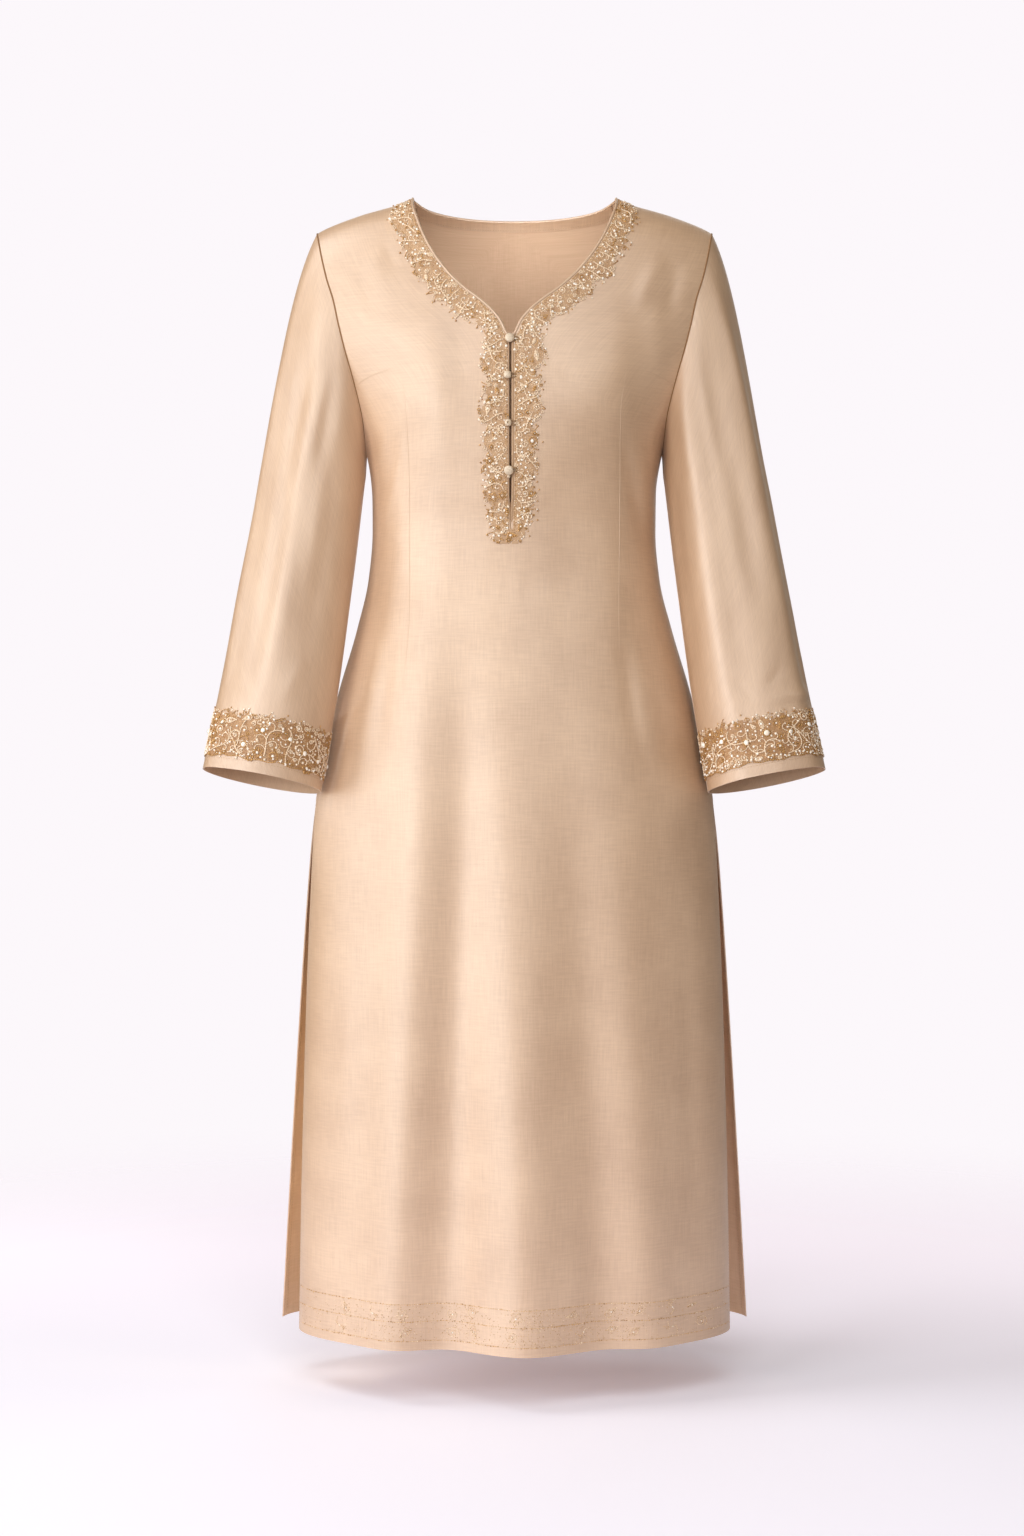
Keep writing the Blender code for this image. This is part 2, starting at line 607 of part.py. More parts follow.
def neck_band(side_name, finish, collection):
    """Raised embroidery along one side of the neckline and of the front opening."""
    side = 1.0 if side_name == "left" else -1.0
    at, x, drop = opening_edge(side, BAND_STEP)
    lobes = NECK_LOBES[side_name]
    place = named(lobes, LOBE_COLUMNS, "place")[:, None]
    half = named(lobes, LOBE_COLUMNS, "half_length")[:, None]
    reach = named(lobes, LOBE_COLUMNS, "reach")[:, None]
    bumps = reach * np.sqrt(np.clip(1 - ((at - place) / half) ** 2, 0.0, 1.0))
    width = np.maximum(bumps.max(axis=0), BAND_LEAST_WIDTH)
    along_x, along_drop = np.gradient(x), np.gradient(drop)
    size = np.hypot(along_x, along_drop)
    away_x, away_drop = side * along_drop / size, -side * along_x / size
    share = np.linspace(0.0, 1.0, BAND_COLUMNS + 1)
    out = BAND_EDGE_INSET + (width - BAND_EDGE_INSET)[:, None] * share
    grid_x = x[:, None] + away_x[:, None] * out
    grid_drop = np.maximum(drop[:, None] + away_drop[:, None] * out, 0.0)
    limit = half_width("front", grid_drop)
    grid_x = np.clip(grid_x, -limit, limit)
    grid_x[0] = side * half_width("front", grid_drop[0])
    cloth = surface("front", grid_x, grid_drop)
    normals = outward("front", cloth)
    points = cloth + (BAND_LIFT + RAISED) * normals
    faces = grid_faces(len(at), BAND_COLUMNS + 1)
    if side > 0:
        faces = faces[:, ::-1]
    return cloth_wall("neck_embroidery_" + side_name, points.reshape(-1, 3), normals.reshape(-1, 3), faces,
                      RAISED, finish, collection)


def rod(name, points, radius, resolution, finish, collection):
    """A round cord along a line of points."""
    curve = bpy.data.curves.new(name, "CURVE")
    curve.dimensions = "3D"
    curve.bevel_depth = radius
    curve.bevel_resolution = resolution
    curve.use_fill_caps = True
    spline = curve.splines.new("POLY")
    spline.points.add(len(points) - 1)
    spline.points.foreach_set("co", np.column_stack([points, np.ones(len(points))]).ravel())
    curve.materials.append(finish)
    piece = bpy.data.objects.new(name, curve)
    collection.objects.link(piece)
    return piece


def neck_line(face, table, side, lowest):
    """One half of a panel's neck edge: its points, outward directions and ways into the cloth."""
    x, drop = row_grid(face, table, FRONT_COLUMNS, side)
    rows = named(table, ROW_COLUMNS, "inner_drop") <= lowest
    edge = surface(face, x[rows, 0], drop[rows, 0])
    out = outward(face, edge)
    into = np.cross(np.gradient(edge, axis=0), out)
    into /= np.linalg.norm(into, axis=1, keepdims=True)
    nearby = surface(face, x[rows, 1], drop[rows, 1]) - edge
    return edge, out, into * np.sign(np.sum(into * nearby, axis=1, keepdims=True))


def neck_piping(finish, collection):
    """One fine piped cord round the whole neckline, from the front notch to the front notch."""
    lines = []
    for face, side in (("front", 1.0), ("back", 1.0), ("back", -1.0), ("front", -1.0)):
        table = FRONT_ROWS if face == "front" else BACK_ROWS[:BACK_NECK_ROWS]
        edge, out, into = neck_line(face, table, side, PIPING_LOWEST)
        lines.append(edge - PIPING_INSET * into - CLOTH / 2 * out)
    front_left, back_left, back_right, front_right = lines
    path = np.vstack([front_left[::-1], back_left[1:], back_right[-2:0:-1], front_right])
    return rod("neck_piping", path, PIPING_RADIUS, 1, finish, collection)


def back_neck_facing(finish, collection):
    """The strip turned inside the back neckline, made from the back's own points, moved in."""
    strips = []
    for side in (1.0, -1.0):
        x, drop = row_grid("back", BACK_ROWS, BACK_COLUMNS, side)
        cloth = surface("back", x, drop)
        normals = outward("back", cloth)
        rows = slice(1, BACK_NECK_ROWS)
        edge, edge_out = cloth[rows, 0], normals[rows, 0]
        next_point, next_out = cloth[rows, 1].copy(), normals[rows, 1].copy()
        next_point[-1], next_out[-1] = cloth[BACK_NECK_ROWS, 0], normals[BACK_NECK_ROWS, 0]
        length = np.linalg.norm(next_point - edge, axis=1)[:, None, None]
        share = np.linspace(FACING_EDGE, FACING_DEPTH, FACING_COLUMNS + 1)[None, :, None] / length
        points = edge[:, None] + (next_point - edge)[:, None] * share
        out = edge_out[:, None] + (next_out - edge_out)[:, None] * share
        strips.append((points - (CLOTH + FACING_GAP) * out, out))
    points = np.vstack([strips[0][0], strips[1][0][-2::-1]])
    normals = np.vstack([strips[0][1], strips[1][1][-2::-1]])
    faces = grid_faces(len(points), FACING_COLUMNS + 1)
    return cloth_wall("back_neck_facing", points.reshape(-1, 3), normals.reshape(-1, 3), faces,
                      FACING_THICKNESS, finish, collection)


def turned_button(number, button, finish, collection):
    """A domed covered button on its shank, square to the front."""
    seat = surface("front", np.array(button["x"]), np.array(button["drop"]))
    out = outward("front", seat)
    radius = button["diameter"] / 2
    edge_height, rise = SHANK_HEIGHT + BUTTON_EDGE, BUTTON_HEIGHT - BUTTON_EDGE
    dome = [(radius * math.cos(a), edge_height + rise * math.sin(a))
            for a in np.linspace(math.pi / 2, 0.0, DOME_STEPS)]
    dome[0] = (0.0, dome[0][1])
    profile = dome + [(radius * BUTTON_UNDERSIDE, SHANK_HEIGHT), (SHANK_RADIUS, SHANK_HEIGHT),
                      (SHANK_RADIUS, 0.0), (0.0, 0.0)]
    name = "button_%d" % number
    mesh = bpy.data.meshes.new(name)
    mesh.from_pydata([(r, 0.0, z) for r, z in profile], [(i, i + 1) for i in range(len(profile) - 1)], [])
    mesh.materials.append(finish)
    piece = bpy.data.objects.new(name, mesh)
    collection.objects.link(piece)
    turn = piece.modifiers.new("turn", "SCREW")
    turn.steps = turn.render_steps = BUTTON_SIDES
    turn.use_merge_vertices = True
    turn.merge_threshold = SCREW_MERGE
    turn.use_smooth_shade = True
    lift = BAND_LIFT + RAISED + SEAM
    piece.location = (seat + lift * out).tolist()
    piece.rotation_mode = "QUATERNION"
    piece.rotation_quaternion = Vector(out.tolist()).to_track_quat("Z", "Y")
    return piece


def button_loop(number, button, finish, collection):
    """A thread loop from the wearer's left edge of the opening, round the button's shank."""
    seat = surface("front", np.array(button["x"]), np.array(button["drop"]))
    out = outward("front", seat)
    across = np.cross(out, np.array([0.0, 0.0, -1.0]))
    across *= np.sign(across[0]) / np.linalg.norm(across)
    down = np.cross(across, out)
    turn = SHANK_RADIUS + SEAM + LOOP_RADIUS
    bend = np.linspace(math.pi / 2, 3 * math.pi / 2, LOOP_STEPS)
    right = np.concatenate([[LOOP_LEG], turn * np.cos(bend), [LOOP_LEG]])
    high = np.concatenate([[turn], turn * np.sin(bend), [-turn]])
    lift = BAND_LIFT + RAISED + SEAM + LOOP_RADIUS
    path = seat + lift * out + right[:, None] * across + high[:, None] * down
    return rod("button_loop_%d" % number, path, LOOP_RADIUS, 1, finish, collection)


def build():
    """Every piece of the kameez, in one collection."""
    for old in list(bpy.data.objects):
        bpy.data.objects.remove(old, do_unlink=True)
    collection = bpy.data.collections.new("kameez")
    bpy.context.scene.collection.children.link(collection)
    silk = material("silk", CLOTH_COLOUR, CLOTH_ROUGHNESS)
    thread = material("gold_thread", THREAD_COLOUR, THREAD_ROUGHNESS, THREAD_METALLIC)
    button_cloth = material("button_cloth", BUTTON_COLOUR, CLOTH_ROUGHNESS)
    panel("front_panel", "front", FRONT_ROWS, FRONT_COLUMNS, silk, collection)
    panel("back_panel", "back", BACK_ROWS, BACK_COLUMNS, silk, collection)
    for side in ("left", "right"):
        sleeve(side, silk, collection)
        cuff_band(side, thread, collection)
        neck_band(side, thread, collection)
    neck_piping(silk, collection)
    back_neck_facing(silk, collection)
    for number, button in enumerate(entries(BUTTONS, BUTTON_COLUMNS), start=1):
        turned_button(number, button, button_cloth, collection)
        button_loop(number, button, silk, collection)


build()
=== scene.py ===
# %% [markdown]
# # A silk kameez, dressed over its solids
#
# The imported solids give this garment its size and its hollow, worn form. This lesson puts
# the looks on them: thin silk in place of thick walls, seams and stitches, couched cord and
# beads round the neck and the cuffs, and buttons down the front.
# Everything is in metres, +Z is up and the front faces -Y. A "drop" is a height measured
# down from the shoulders, the way a cutter reads a pattern.

# %% Frame
import math

import bpy
import numpy as np
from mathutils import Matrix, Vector


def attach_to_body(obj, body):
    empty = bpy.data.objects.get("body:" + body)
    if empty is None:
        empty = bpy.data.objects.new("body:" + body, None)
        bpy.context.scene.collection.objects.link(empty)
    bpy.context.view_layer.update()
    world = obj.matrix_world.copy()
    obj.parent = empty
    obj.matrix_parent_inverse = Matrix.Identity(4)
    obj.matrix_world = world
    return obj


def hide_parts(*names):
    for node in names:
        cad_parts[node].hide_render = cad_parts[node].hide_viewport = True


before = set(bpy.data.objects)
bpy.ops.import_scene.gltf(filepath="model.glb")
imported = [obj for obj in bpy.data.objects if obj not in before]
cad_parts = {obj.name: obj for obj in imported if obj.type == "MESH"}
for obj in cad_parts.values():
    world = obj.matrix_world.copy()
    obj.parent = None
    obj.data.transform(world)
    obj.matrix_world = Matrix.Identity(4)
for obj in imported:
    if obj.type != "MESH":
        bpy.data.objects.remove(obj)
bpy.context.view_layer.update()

# %% [markdown]
# ## The camera
# A product photograph like this one is taken level, from a few steps away, with the camera
# at the height of the garment's middle. A long lens keeps the sleeves from growing towards
# the edges. At 2.4 m with this lens one millimetre of cloth is one pixel of the full frame,
# which makes it easy to read sizes off the picture.

# %% Camera
CAMERA_PLACE = (-0.0025, -2.4, -0.569)
LENS_MM = 56.25
SENSOR_MM = 36.0

view = bpy.data.cameras.new("studio_camera")
view.sensor_fit = "VERTICAL"
view.sensor_height = SENSOR_MM
view.lens = LENS_MM
view.clip_end = 100.0
camera = bpy.data.objects.new("studio_camera", view)
camera.location = CAMERA_PLACE
camera.rotation_euler = (math.pi / 2, 0.0, 0.0)
bpy.context.scene.collection.objects.link(camera)
bpy.context.scene.camera = camera
print("camera at", CAMERA_PLACE)

# %% [markdown]
# ## The lamps
# Silk shows its folds only when the light comes from one side. A wide soft lamp, the key,
# stands at the front left. Weaker ones at the left, the front and the right open the shadows,
# and two from above draw the sleeves' heads and the shoulders. Wide area lamps give soft
# edges, where a sun lamp would cut hard ones.
# Three small lamps stand for light that a pale studio throws back: one inside the neck, one
# inside the skirt that shines on the inside of the back at the slit, and one beside the hip.

# %% Lamps
LAMP_COLUMNS = ("name", "place", "target", "width", "height", "watts", "colour")
LAMPS = (
    ("key", (-2.05, -2.25, -0.20), (0.0, 0.0, -0.60), 1.25, 2.3, 51.2, (1.0, 0.99, 0.965)),
    ("overhead", (0.10, -2.3, 1.65), (0.0, 0.0, -0.35), 1.6, 1.5, 30.0, (1.0, 0.985, 0.955)),
    ("front", (0.35, -3.0, 0.00), (0.0, 0.0, -0.20), 1.6, 1.3, 15.5, (1.0, 0.98, 0.95)),
    ("left", (-2.9, -0.70, -0.30), (0.0, 0.0, -0.60), 0.9, 1.8, 22.0, (1.0, 0.99, 0.965)),
    ("side_fill", (-0.44, 0.05, -0.46), (-0.14, 0.0, -0.45), 0.18, 0.26, 0.58, (1.0, 0.96, 0.91)),
    ("slit", (-0.120, -0.020, -0.95), (-0.235, 0.055, -0.95), 0.03, 0.34, 0.098, (1.0, 0.74, 0.41)),
    ("shoulder", (-1.5, -0.25, 1.45), (-0.12, 0.0, -0.08), 0.9, 0.9, 17.0, (1.0, 0.985, 0.965)),
    ("right", (2.5, -1.5, -0.10), (0.0, 0.0, -0.50), 1.2, 1.8, 4.0, (1.0, 0.93, 0.84)),
    ("back", (0.3, 2.4, 0.60), (0.0, 0.0, -0.50), 1.8, 2.0, 12.0, (1.0, 0.97, 0.93)),
    ("neck", (0.005, -0.035, -0.060), (0.004, 0.07, -0.005), 0.09, 0.02, 0.080, (1.0, 0.99, 0.99)),
)


def entries(table, columns):
    """Each row of a table as values under its columns' names."""
    return [dict(zip(columns, row)) for row in table]


for lamp in entries(LAMPS, LAMP_COLUMNS):
    light = bpy.data.lights.new(lamp["name"], "AREA")
    light.shape = "RECTANGLE"
    light.size, light.size_y = lamp["width"], lamp["height"]
    light.energy = lamp["watts"]
    light.color = lamp["colour"]
    holder = bpy.data.objects.new(lamp["name"], light)
    holder.location = lamp["place"]
    holder.rotation_mode = "QUATERNION"
    ahead = Vector(lamp["target"]) - Vector(lamp["place"])
    holder.rotation_quaternion = ahead.to_track_quat("-Z", "Y")
    holder.visible_camera = False
    bpy.context.scene.collection.objects.link(holder)
print("lamps", [row[0] for row in LAMPS])

# %% [markdown]
# ## Nodes in one line each
# A material is a graph of nodes, and wiring one by hand takes four lines a node. These
# helpers add a node, fill its inputs and hand back one of its outputs. An output given as a
# value becomes a link, so a finish can be written and read like a formula.

# %% Node helpers
def connect(owner, socket, value):
    """Links an output into an input, or sets the input to a plain value."""
    if isinstance(value, bpy.types.NodeSocket):
        owner.node_tree.links.new(value, socket)
    else:
        socket.default_value = value


def add_node(owner, kind, inputs=None, output=0, **settings):
    """One output of a new node with the given settings and inputs."""
    node = owner.node_tree.nodes.new("ShaderNode" + kind)
    for key, value in settings.items():
        setattr(node, key, value)
    for key, value in (inputs or {}).items():
        connect(owner, node.inputs[key], value)
    return node.outputs[output]


def combine(owner, operation, first, second):
    """A sum, difference or product of two values."""
    return add_node(owner, "Math", {0: first, 1: second}, operation=operation)


def soft_step(owner, value, start, end, low, high):
    """Goes smoothly from low to high while the value goes from start to end."""
    return add_node(owner, "MapRange", {"Value": value, "From Min": start, "From Max": end,
                                        "To Min": low, "To Max": high},
                    interpolation_type="SMOOTHSTEP")


def ramp(owner, value, colours):
    """A value turned into a colour, along colours that are evenly spaced from 0 to 1."""
    colour = add_node(owner, "ValToRGB", {"Fac": value})
    elements = colour.node.color_ramp.elements
    for _ in colours[2:]:
        elements.new(1.0)
    for number, (element, rgba) in enumerate(zip(elements, colours)):
        element.position = number / (len(colours) - 1)
        element.color = rgba
    return colour


def feed(finish, **inputs):
    """Fills inputs of a material's main shader (underscores stand for spaces)."""
    shader = finish.node_tree.nodes["Principled BSDF"]
    for key, value in inputs.items():
        connect(finish, shader.inputs[key.replace("_", " ")], value)


def new_finish(name, **inputs):
    """A material whose main shader has the given inputs."""
    finish = bpy.data.materials.new(name)
    finish.use_nodes = True
    feed(finish, **inputs)
    return finish


print("materials so far", len(bpy.data.materials))

# %% [markdown]
# ## The floor and the air
# The floor is a plain pale disc a little below the hem. Part of its brightness is its own
# glow, so that it stays almost white and still takes a soft shadow. The glow rises towards
# the back, where the lamps reach less, so that the floor stays even. Under the right of the
# garment the glow dips: a painted shadow, added to the one the lamps cast. The disc fades
# out at its rim.
# The world behind is pale for the camera alone. The cloth sees a dim and warmer air.

# %% Floor and air
FLOOR_HEIGHT = -1.176
FLOOR_RADIUS = 3.0
FLOOR_CORNERS = 64
FLOOR_FADE = (1.25, 2.1)
FLOOR_GLOW = (0.27, 0.46)
FLOOR_GLOW_RISE = (-0.05, 0.70)
# A painted shadow on the floor: the glow is lowered by this much in an ellipse under the garment.
FLOOR_PAINTED_SHADOW = 0.11
FLOOR_PAINTED_SHADOW_PLACE = (0.12, 0.04)
FLOOR_PAINTED_SHADOW_SIZE = (0.38, 0.22)
FLOOR_GLOW_COLOUR = (1.0, 0.82, 0.92, 1.0)
FLOOR_COLOUR = (0.78, 0.82, 0.93, 1.0)
PALE = (0.975, 0.935, 0.965, 1.0)
AIR = (1.0, 0.86, 0.68, 1.0)
AIR_STRENGTH = 0.18

floor_finish = new_finish("studio_floor", Base_Color=FLOOR_COLOUR, Roughness=0.9,
                          Emission_Color=FLOOR_GLOW_COLOUR)
place = add_node(floor_finish, "TexCoord", output="Object")
reach = add_node(floor_finish, "VectorMath", {0: place}, "Value", operation="LENGTH")
backward = add_node(floor_finish, "SeparateXYZ", {0: place}, "Y")
# The painted shadow: the glow less a soft ellipse round its place.
shadow_at = [-at / size for at, size in zip(FLOOR_PAINTED_SHADOW_PLACE, FLOOR_PAINTED_SHADOW_SIZE)] + [0.0]
shadow_scale = [1 / size for size in FLOOR_PAINTED_SHADOW_SIZE] + [0.0]
shadow_place = add_node(floor_finish, "Mapping", {"Vector": place, "Location": shadow_at, "Scale": shadow_scale})
shadow_reach = add_node(floor_finish, "VectorMath", {0: shadow_place}, "Value", operation="LENGTH")
glow = combine(floor_finish, "SUBTRACT",
               soft_step(floor_finish, backward, *FLOOR_GLOW_RISE, *FLOOR_GLOW),
               soft_step(floor_finish, shadow_reach, 0.0, 1.0, FLOOR_PAINTED_SHADOW, 0.0))
feed(floor_finish, Emission_Strength=glow, Alpha=soft_step(floor_finish, reach, *FLOOR_FADE, 1.0, 0.0))

turn = np.linspace(0.0, 2 * math.pi, FLOOR_CORNERS, endpoint=False)
corners = np.column_stack([FLOOR_RADIUS * np.cos(turn), FLOOR_RADIUS * np.sin(turn), 0 * turn + FLOOR_HEIGHT])
floor_mesh = bpy.data.meshes.new("floor")
floor_mesh.from_pydata(corners.tolist(), [], [list(range(FLOOR_CORNERS))])
floor_mesh.materials.append(floor_finish)
floor = bpy.data.objects.new("floor", floor_mesh)
bpy.context.scene.collection.objects.link(floor)

sky = bpy.data.worlds.new("studio")
sky.use_nodes = True
air = sky.node_tree.nodes["Background"]
connect(sky, air.inputs["Color"], AIR)
connect(sky, air.inputs["Strength"], AIR_STRENGTH)
wall = add_node(sky, "Background", {"Color": PALE, "Strength": 1.0})
seen = add_node(sky, "LightPath", output="Is Camera Ray")
both = add_node(sky, "MixShader", {"Fac": seen, 1: air.outputs["Background"], 2: wall})
connect(sky, sky.node_tree.nodes["World Output"].inputs["Surface"], both)
bpy.context.scene.world = sky
bpy.context.scene.view_settings.view_transform = "Standard"
print("floor at", FLOOR_HEIGHT)

# %% [markdown]
# ## The cut
# A tunic like this is drafted from a few level cross sections. Each section here is half an
# ellipse for the front and half for the back, a little squarer where its power is above 2,
# and the tables give its size at each drop. The folds of the skirt are soft humps added to
# the depth, wider and higher towards the hem. The same tables made the solids, so the thin
# cloth lands on the solids' own form.

# %% Tables of the cut
SLIT_TOP = 0.601
HEM = 1.123
FRONT_OPENING_X = -0.0040
FRONT_OPENING_TOP = 0.1575

SECTION_COLUMNS = ("drop", "half_width", "front_depth", "back_depth", "power")
SECTIONS = (
    (-0.012, 0.0550, 0.0300, 0.0120, 2.0),
    (0.0000, 0.0990, 0.0450, 0.0260, 2.0),
    (0.0090, 0.1200, 0.0520, 0.0450, 2.0),
    (0.0210, 0.1605, 0.0600, 0.0570, 2.0),
    (0.0360, 0.1965, 0.0685, 0.0680, 2.0),
    (0.0560, 0.2208, 0.0770, 0.0780, 2.0),
    (0.0855, 0.2287, 0.0885, 0.0880, 2.0),
    (0.1140, 0.2237, 0.0980, 0.0950, 2.0),
    (0.1490, 0.2098, 0.1070, 0.1010, 2.0),
    (0.1960, 0.1789, 0.1125, 0.1040, 2.0),
    (0.2250, 0.1604, 0.1145, 0.1030, 2.0),
    (0.2560, 0.1470, 0.1130, 0.0990, 2.0),
    (0.3000, 0.1405, 0.1060, 0.0890, 2.0),
    (0.3350, 0.1400, 0.1000, 0.0800, 2.0),
    (0.3800, 0.1442, 0.0985, 0.0790, 2.0),
    (0.4300, 0.1565, 0.1040, 0.0870, 2.0),
    (0.5000, 0.1770, 0.1120, 0.1010, 2.05),
    (0.5600, 0.1900, 0.1165, 0.1120, 2.1),
    (0.6010, 0.1980, 0.1190, 0.1170, 2.1),
    (0.7000, 0.2035, 0.1225, 0.1210, 2.15),
    (0.8500, 0.2085, 0.1260, 0.1235, 2.15),
    (1.0000, 0.2118, 0.1285, 0.1255, 2.15),
    (1.1230, 0.2135, 0.1300, 0.1270, 2.15),
)
SLIT_COLUMNS = ("drop", "front_edge_depth", "back_edge_depth", "back_extra_width",
                "front_power_less", "back_power_less")
SLITS = (
    (0.601, 0.000, 0.000, 0.000, 0.00, 0.00),
    (0.660, 0.003, 0.004, 0.003, 0.04, 0.10),
    (0.800, 0.010, 0.011, 0.008, 0.10, 0.28),
    (0.960, 0.016, 0.018, 0.014, 0.18, 0.42),
    (1.123, 0.021, 0.024, 0.021, 0.27, 0.52),
)
FOLD_COLUMNS = ("start", "end", "x_start", "x_end", "breadth_start", "breadth_end", "height")
FOLDS = {
    "front": (
        (0.36, 1.12, -0.004, 0.012, 0.030, 0.041, 0.018),
        (0.34, 1.12, -0.070, -0.124, 0.022, 0.036, 0.008),
        (0.42, 1.12, 0.080, 0.138, 0.024, 0.032, 0.008),
        (0.44, 1.12, -0.045, -0.072, 0.018, 0.026, -0.008),
        (0.46, 1.12, 0.050, 0.090, 0.018, 0.026, -0.007),
    ),
    "back": (
        (0.40, 1.12, -0.062, -0.118, 0.026, 0.036, 0.010),
        (0.36, 1.12, 0.012, 0.020, 0.028, 0.042, 0.013),
        (0.46, 1.12, 0.078, 0.142, 0.024, 0.032, 0.008),
        (0.42, 1.12, -0.020, -0.050, 0.018, 0.030, -0.008),
        (0.48, 1.12, 0.052, 0.090, 0.018, 0.028, -0.008),
    ),
}
BUST_X, BUST_DROP, BUST_SPREAD, BUST_HEIGHT = 0.080, 0.215, 0.046, 0.006

# %% [markdown]
# ## Reading a table smoothly
# A table has a dozen rows, and the cloth has hundreds. Between two rows the value follows a
# cubic whose slopes are chosen so that it never swings past the rows themselves (a monotone
# cubic), because an overshoot would show as a dent in the silk.

# %% Curve helpers
def smooth(keys, values, at):
    """Cubic through (key, value) pairs: slopes are weighted harmonic means of the steps."""
    keys, values = np.asarray(keys, dtype=float), np.asarray(values, dtype=float)
    step = np.diff(keys)
    slope = np.diff(values) / step
    before, after = slope[:-1], slope[1:]
    same_way = before * after > 0.0
    near, far = 2 * step[1:] + step[:-1], step[1:] + 2 * step[:-1]
    mean = (near + far) / (near / np.where(same_way, before, 1.0) + far / np.where(same_way, after, 1.0))
    tangent = np.concatenate([slope[:1], np.where(same_way, mean, 0.0), slope[-1:]])
    at = np.asarray(at, dtype=float)
    cell = np.clip(np.searchsorted(keys, at, side="right") - 1, 0, len(keys) - 2)
    t = (at - keys[cell]) / step[cell]
    return ((1 + 2 * t) * (1 - t) ** 2 * values[cell] + t * (1 - t) ** 2 * step[cell] * tangent[cell]
            + t * t * (3 - 2 * t) * values[cell + 1] + t * t * (t - 1) * step[cell] * tangent[cell + 1])


def named(table, columns, name):
    """One column of a table as an array."""
    return np.array([row[columns.index(name)] for row in table], dtype=float)


def read(table, columns, name, at):
    """A column read smoothly at any value of the table's first column."""
    return smooth(named(table, columns, columns[0]), named(table, columns, name), at)


def ease(value):
    """Rises softly from 0 to 1: three times the square less twice the cube."""
    value = np.clip(value, 0.0, 1.0)
    return value * value * (3 - 2 * value)


def unit(vectors):
    """The same directions with a length of one."""
    return vectors / np.maximum(np.linalg.norm(vectors, axis=-1, keepdims=True), 1e-12)


def run_along(line):
    """Length along a line of points, from 0 at its first."""
    return np.concatenate([[0.0], np.cumsum(np.linalg.norm(np.diff(line, axis=0), axis=1))])


def between(at, keys, rows):
    """Rows of numbers read straight between their keys, column by column."""
    return np.stack([np.interp(at, keys, column) for column in rows.T], axis=-1)


def resample(line, step):
    """The same line with points an even step apart."""
    run = run_along(line)
    return between(np.linspace(0.0, run[-1], max(4, int(run[-1] / step) + 1)), run, line)


print("half width at the waist", float(read(SECTIONS, SECTION_COLUMNS, "half_width", 0.335)))

# %% [markdown]
# ## The form of the front and the back
# Depth at a point is the edge's depth plus the rest times (1 - |x / half width| ^ power) to
# the power (1 / power), which is the ellipse's own formula turned round. Directions square
# to the cloth come from the slope of the formula, measured with small steps each way, so
# nothing has to be read back from a mesh.

# %% Form of the panels
def half_width(face, drop):
    """Half the body's width at the seam or slit edge; the back spreads wider below the slit top."""
    extra = 0.0
    if face == "back":
        extra = read(SLITS, SLIT_COLUMNS, "back_extra_width", np.clip(drop, SLIT_TOP, HEM))
    return read(SECTIONS, SECTION_COLUMNS, "half_width", drop) + extra


def fold_depth(face, x, drop):
    """Sum of humps: height times a bell across x, fading in from a fold's start to its end."""
    total = np.zeros(np.broadcast(x, drop).shape)
    for fold in entries(FOLDS[face], FOLD_COLUMNS):
        part = np.clip((drop - fold["start"]) / (fold["end"] - fold["start"]), 0.0, 1.0)
        middle = fold["x_start"] + (fold["x_end"] - fold["x_start"]) * part
        breadth = fold["breadth_start"] + (fold["breadth_end"] - fold["breadth_start"]) * part
        total = total + fold["height"] * ease(part) * np.exp(-((x - middle) / breadth) ** 2)
    return total


def shape(face, x, drop):
    """Edge depth, depth, half width and power of the cross section through each point."""
    low = np.clip(drop, SLIT_TOP, HEM)
    edge = read(SLITS, SLIT_COLUMNS, face + "_edge_depth", low)
    depth = read(SECTIONS, SECTION_COLUMNS, face + "_depth", drop) + fold_depth(face, x, drop)
    if face == "front":
        apart = ((np.abs(x) - BUST_X) ** 2 + (drop - BUST_DROP) ** 2) / BUST_SPREAD ** 2
        depth = depth + BUST_HEIGHT * np.exp(-apart)
    power = (read(SECTIONS, SECTION_COLUMNS, "power", drop)
             - read(SLITS, SLIT_COLUMNS, face + "_power_less", low))
    return edge, depth, half_width(face, drop), power


def surface(face, x, drop):
    """Points of the cloth: y is edge depth + (depth - edge) (1 - |x/width|^power)^(1/power)."""
    edge, depth, width, power = shape(face, x, drop)
    across = np.clip(1 - (np.abs(x) / width) ** power, 0.0, 1.0) ** (1 / power)
    away = edge + (depth - edge) * across
    side = -1.0 if face == "front" else 1.0
    return np.stack([x + 0 * drop, side * away, 0 * x - drop], axis=-1)


def level(face, point):
    """The section's own formula as a number that grows outward through the cloth."""
    x, y, z = point[..., 0], point[..., 1], point[..., 2]
    edge, depth, width, power = shape(face, x, -z)
    return (np.abs(x) / width) ** power + np.abs((np.abs(y) - edge) / (depth - edge)) ** power


def outward(face, points):
    """Unit vectors square to the cloth: the slope of level(), by steps of 0.2 mm each way."""
    steps = np.eye(3) * 0.0002
    return unit(np.stack([level(face, points + s) - level(face, points - s) for s in steps], axis=-1))


print("front at the waist", surface("front", np.array(0.0), np.array(0.335)))
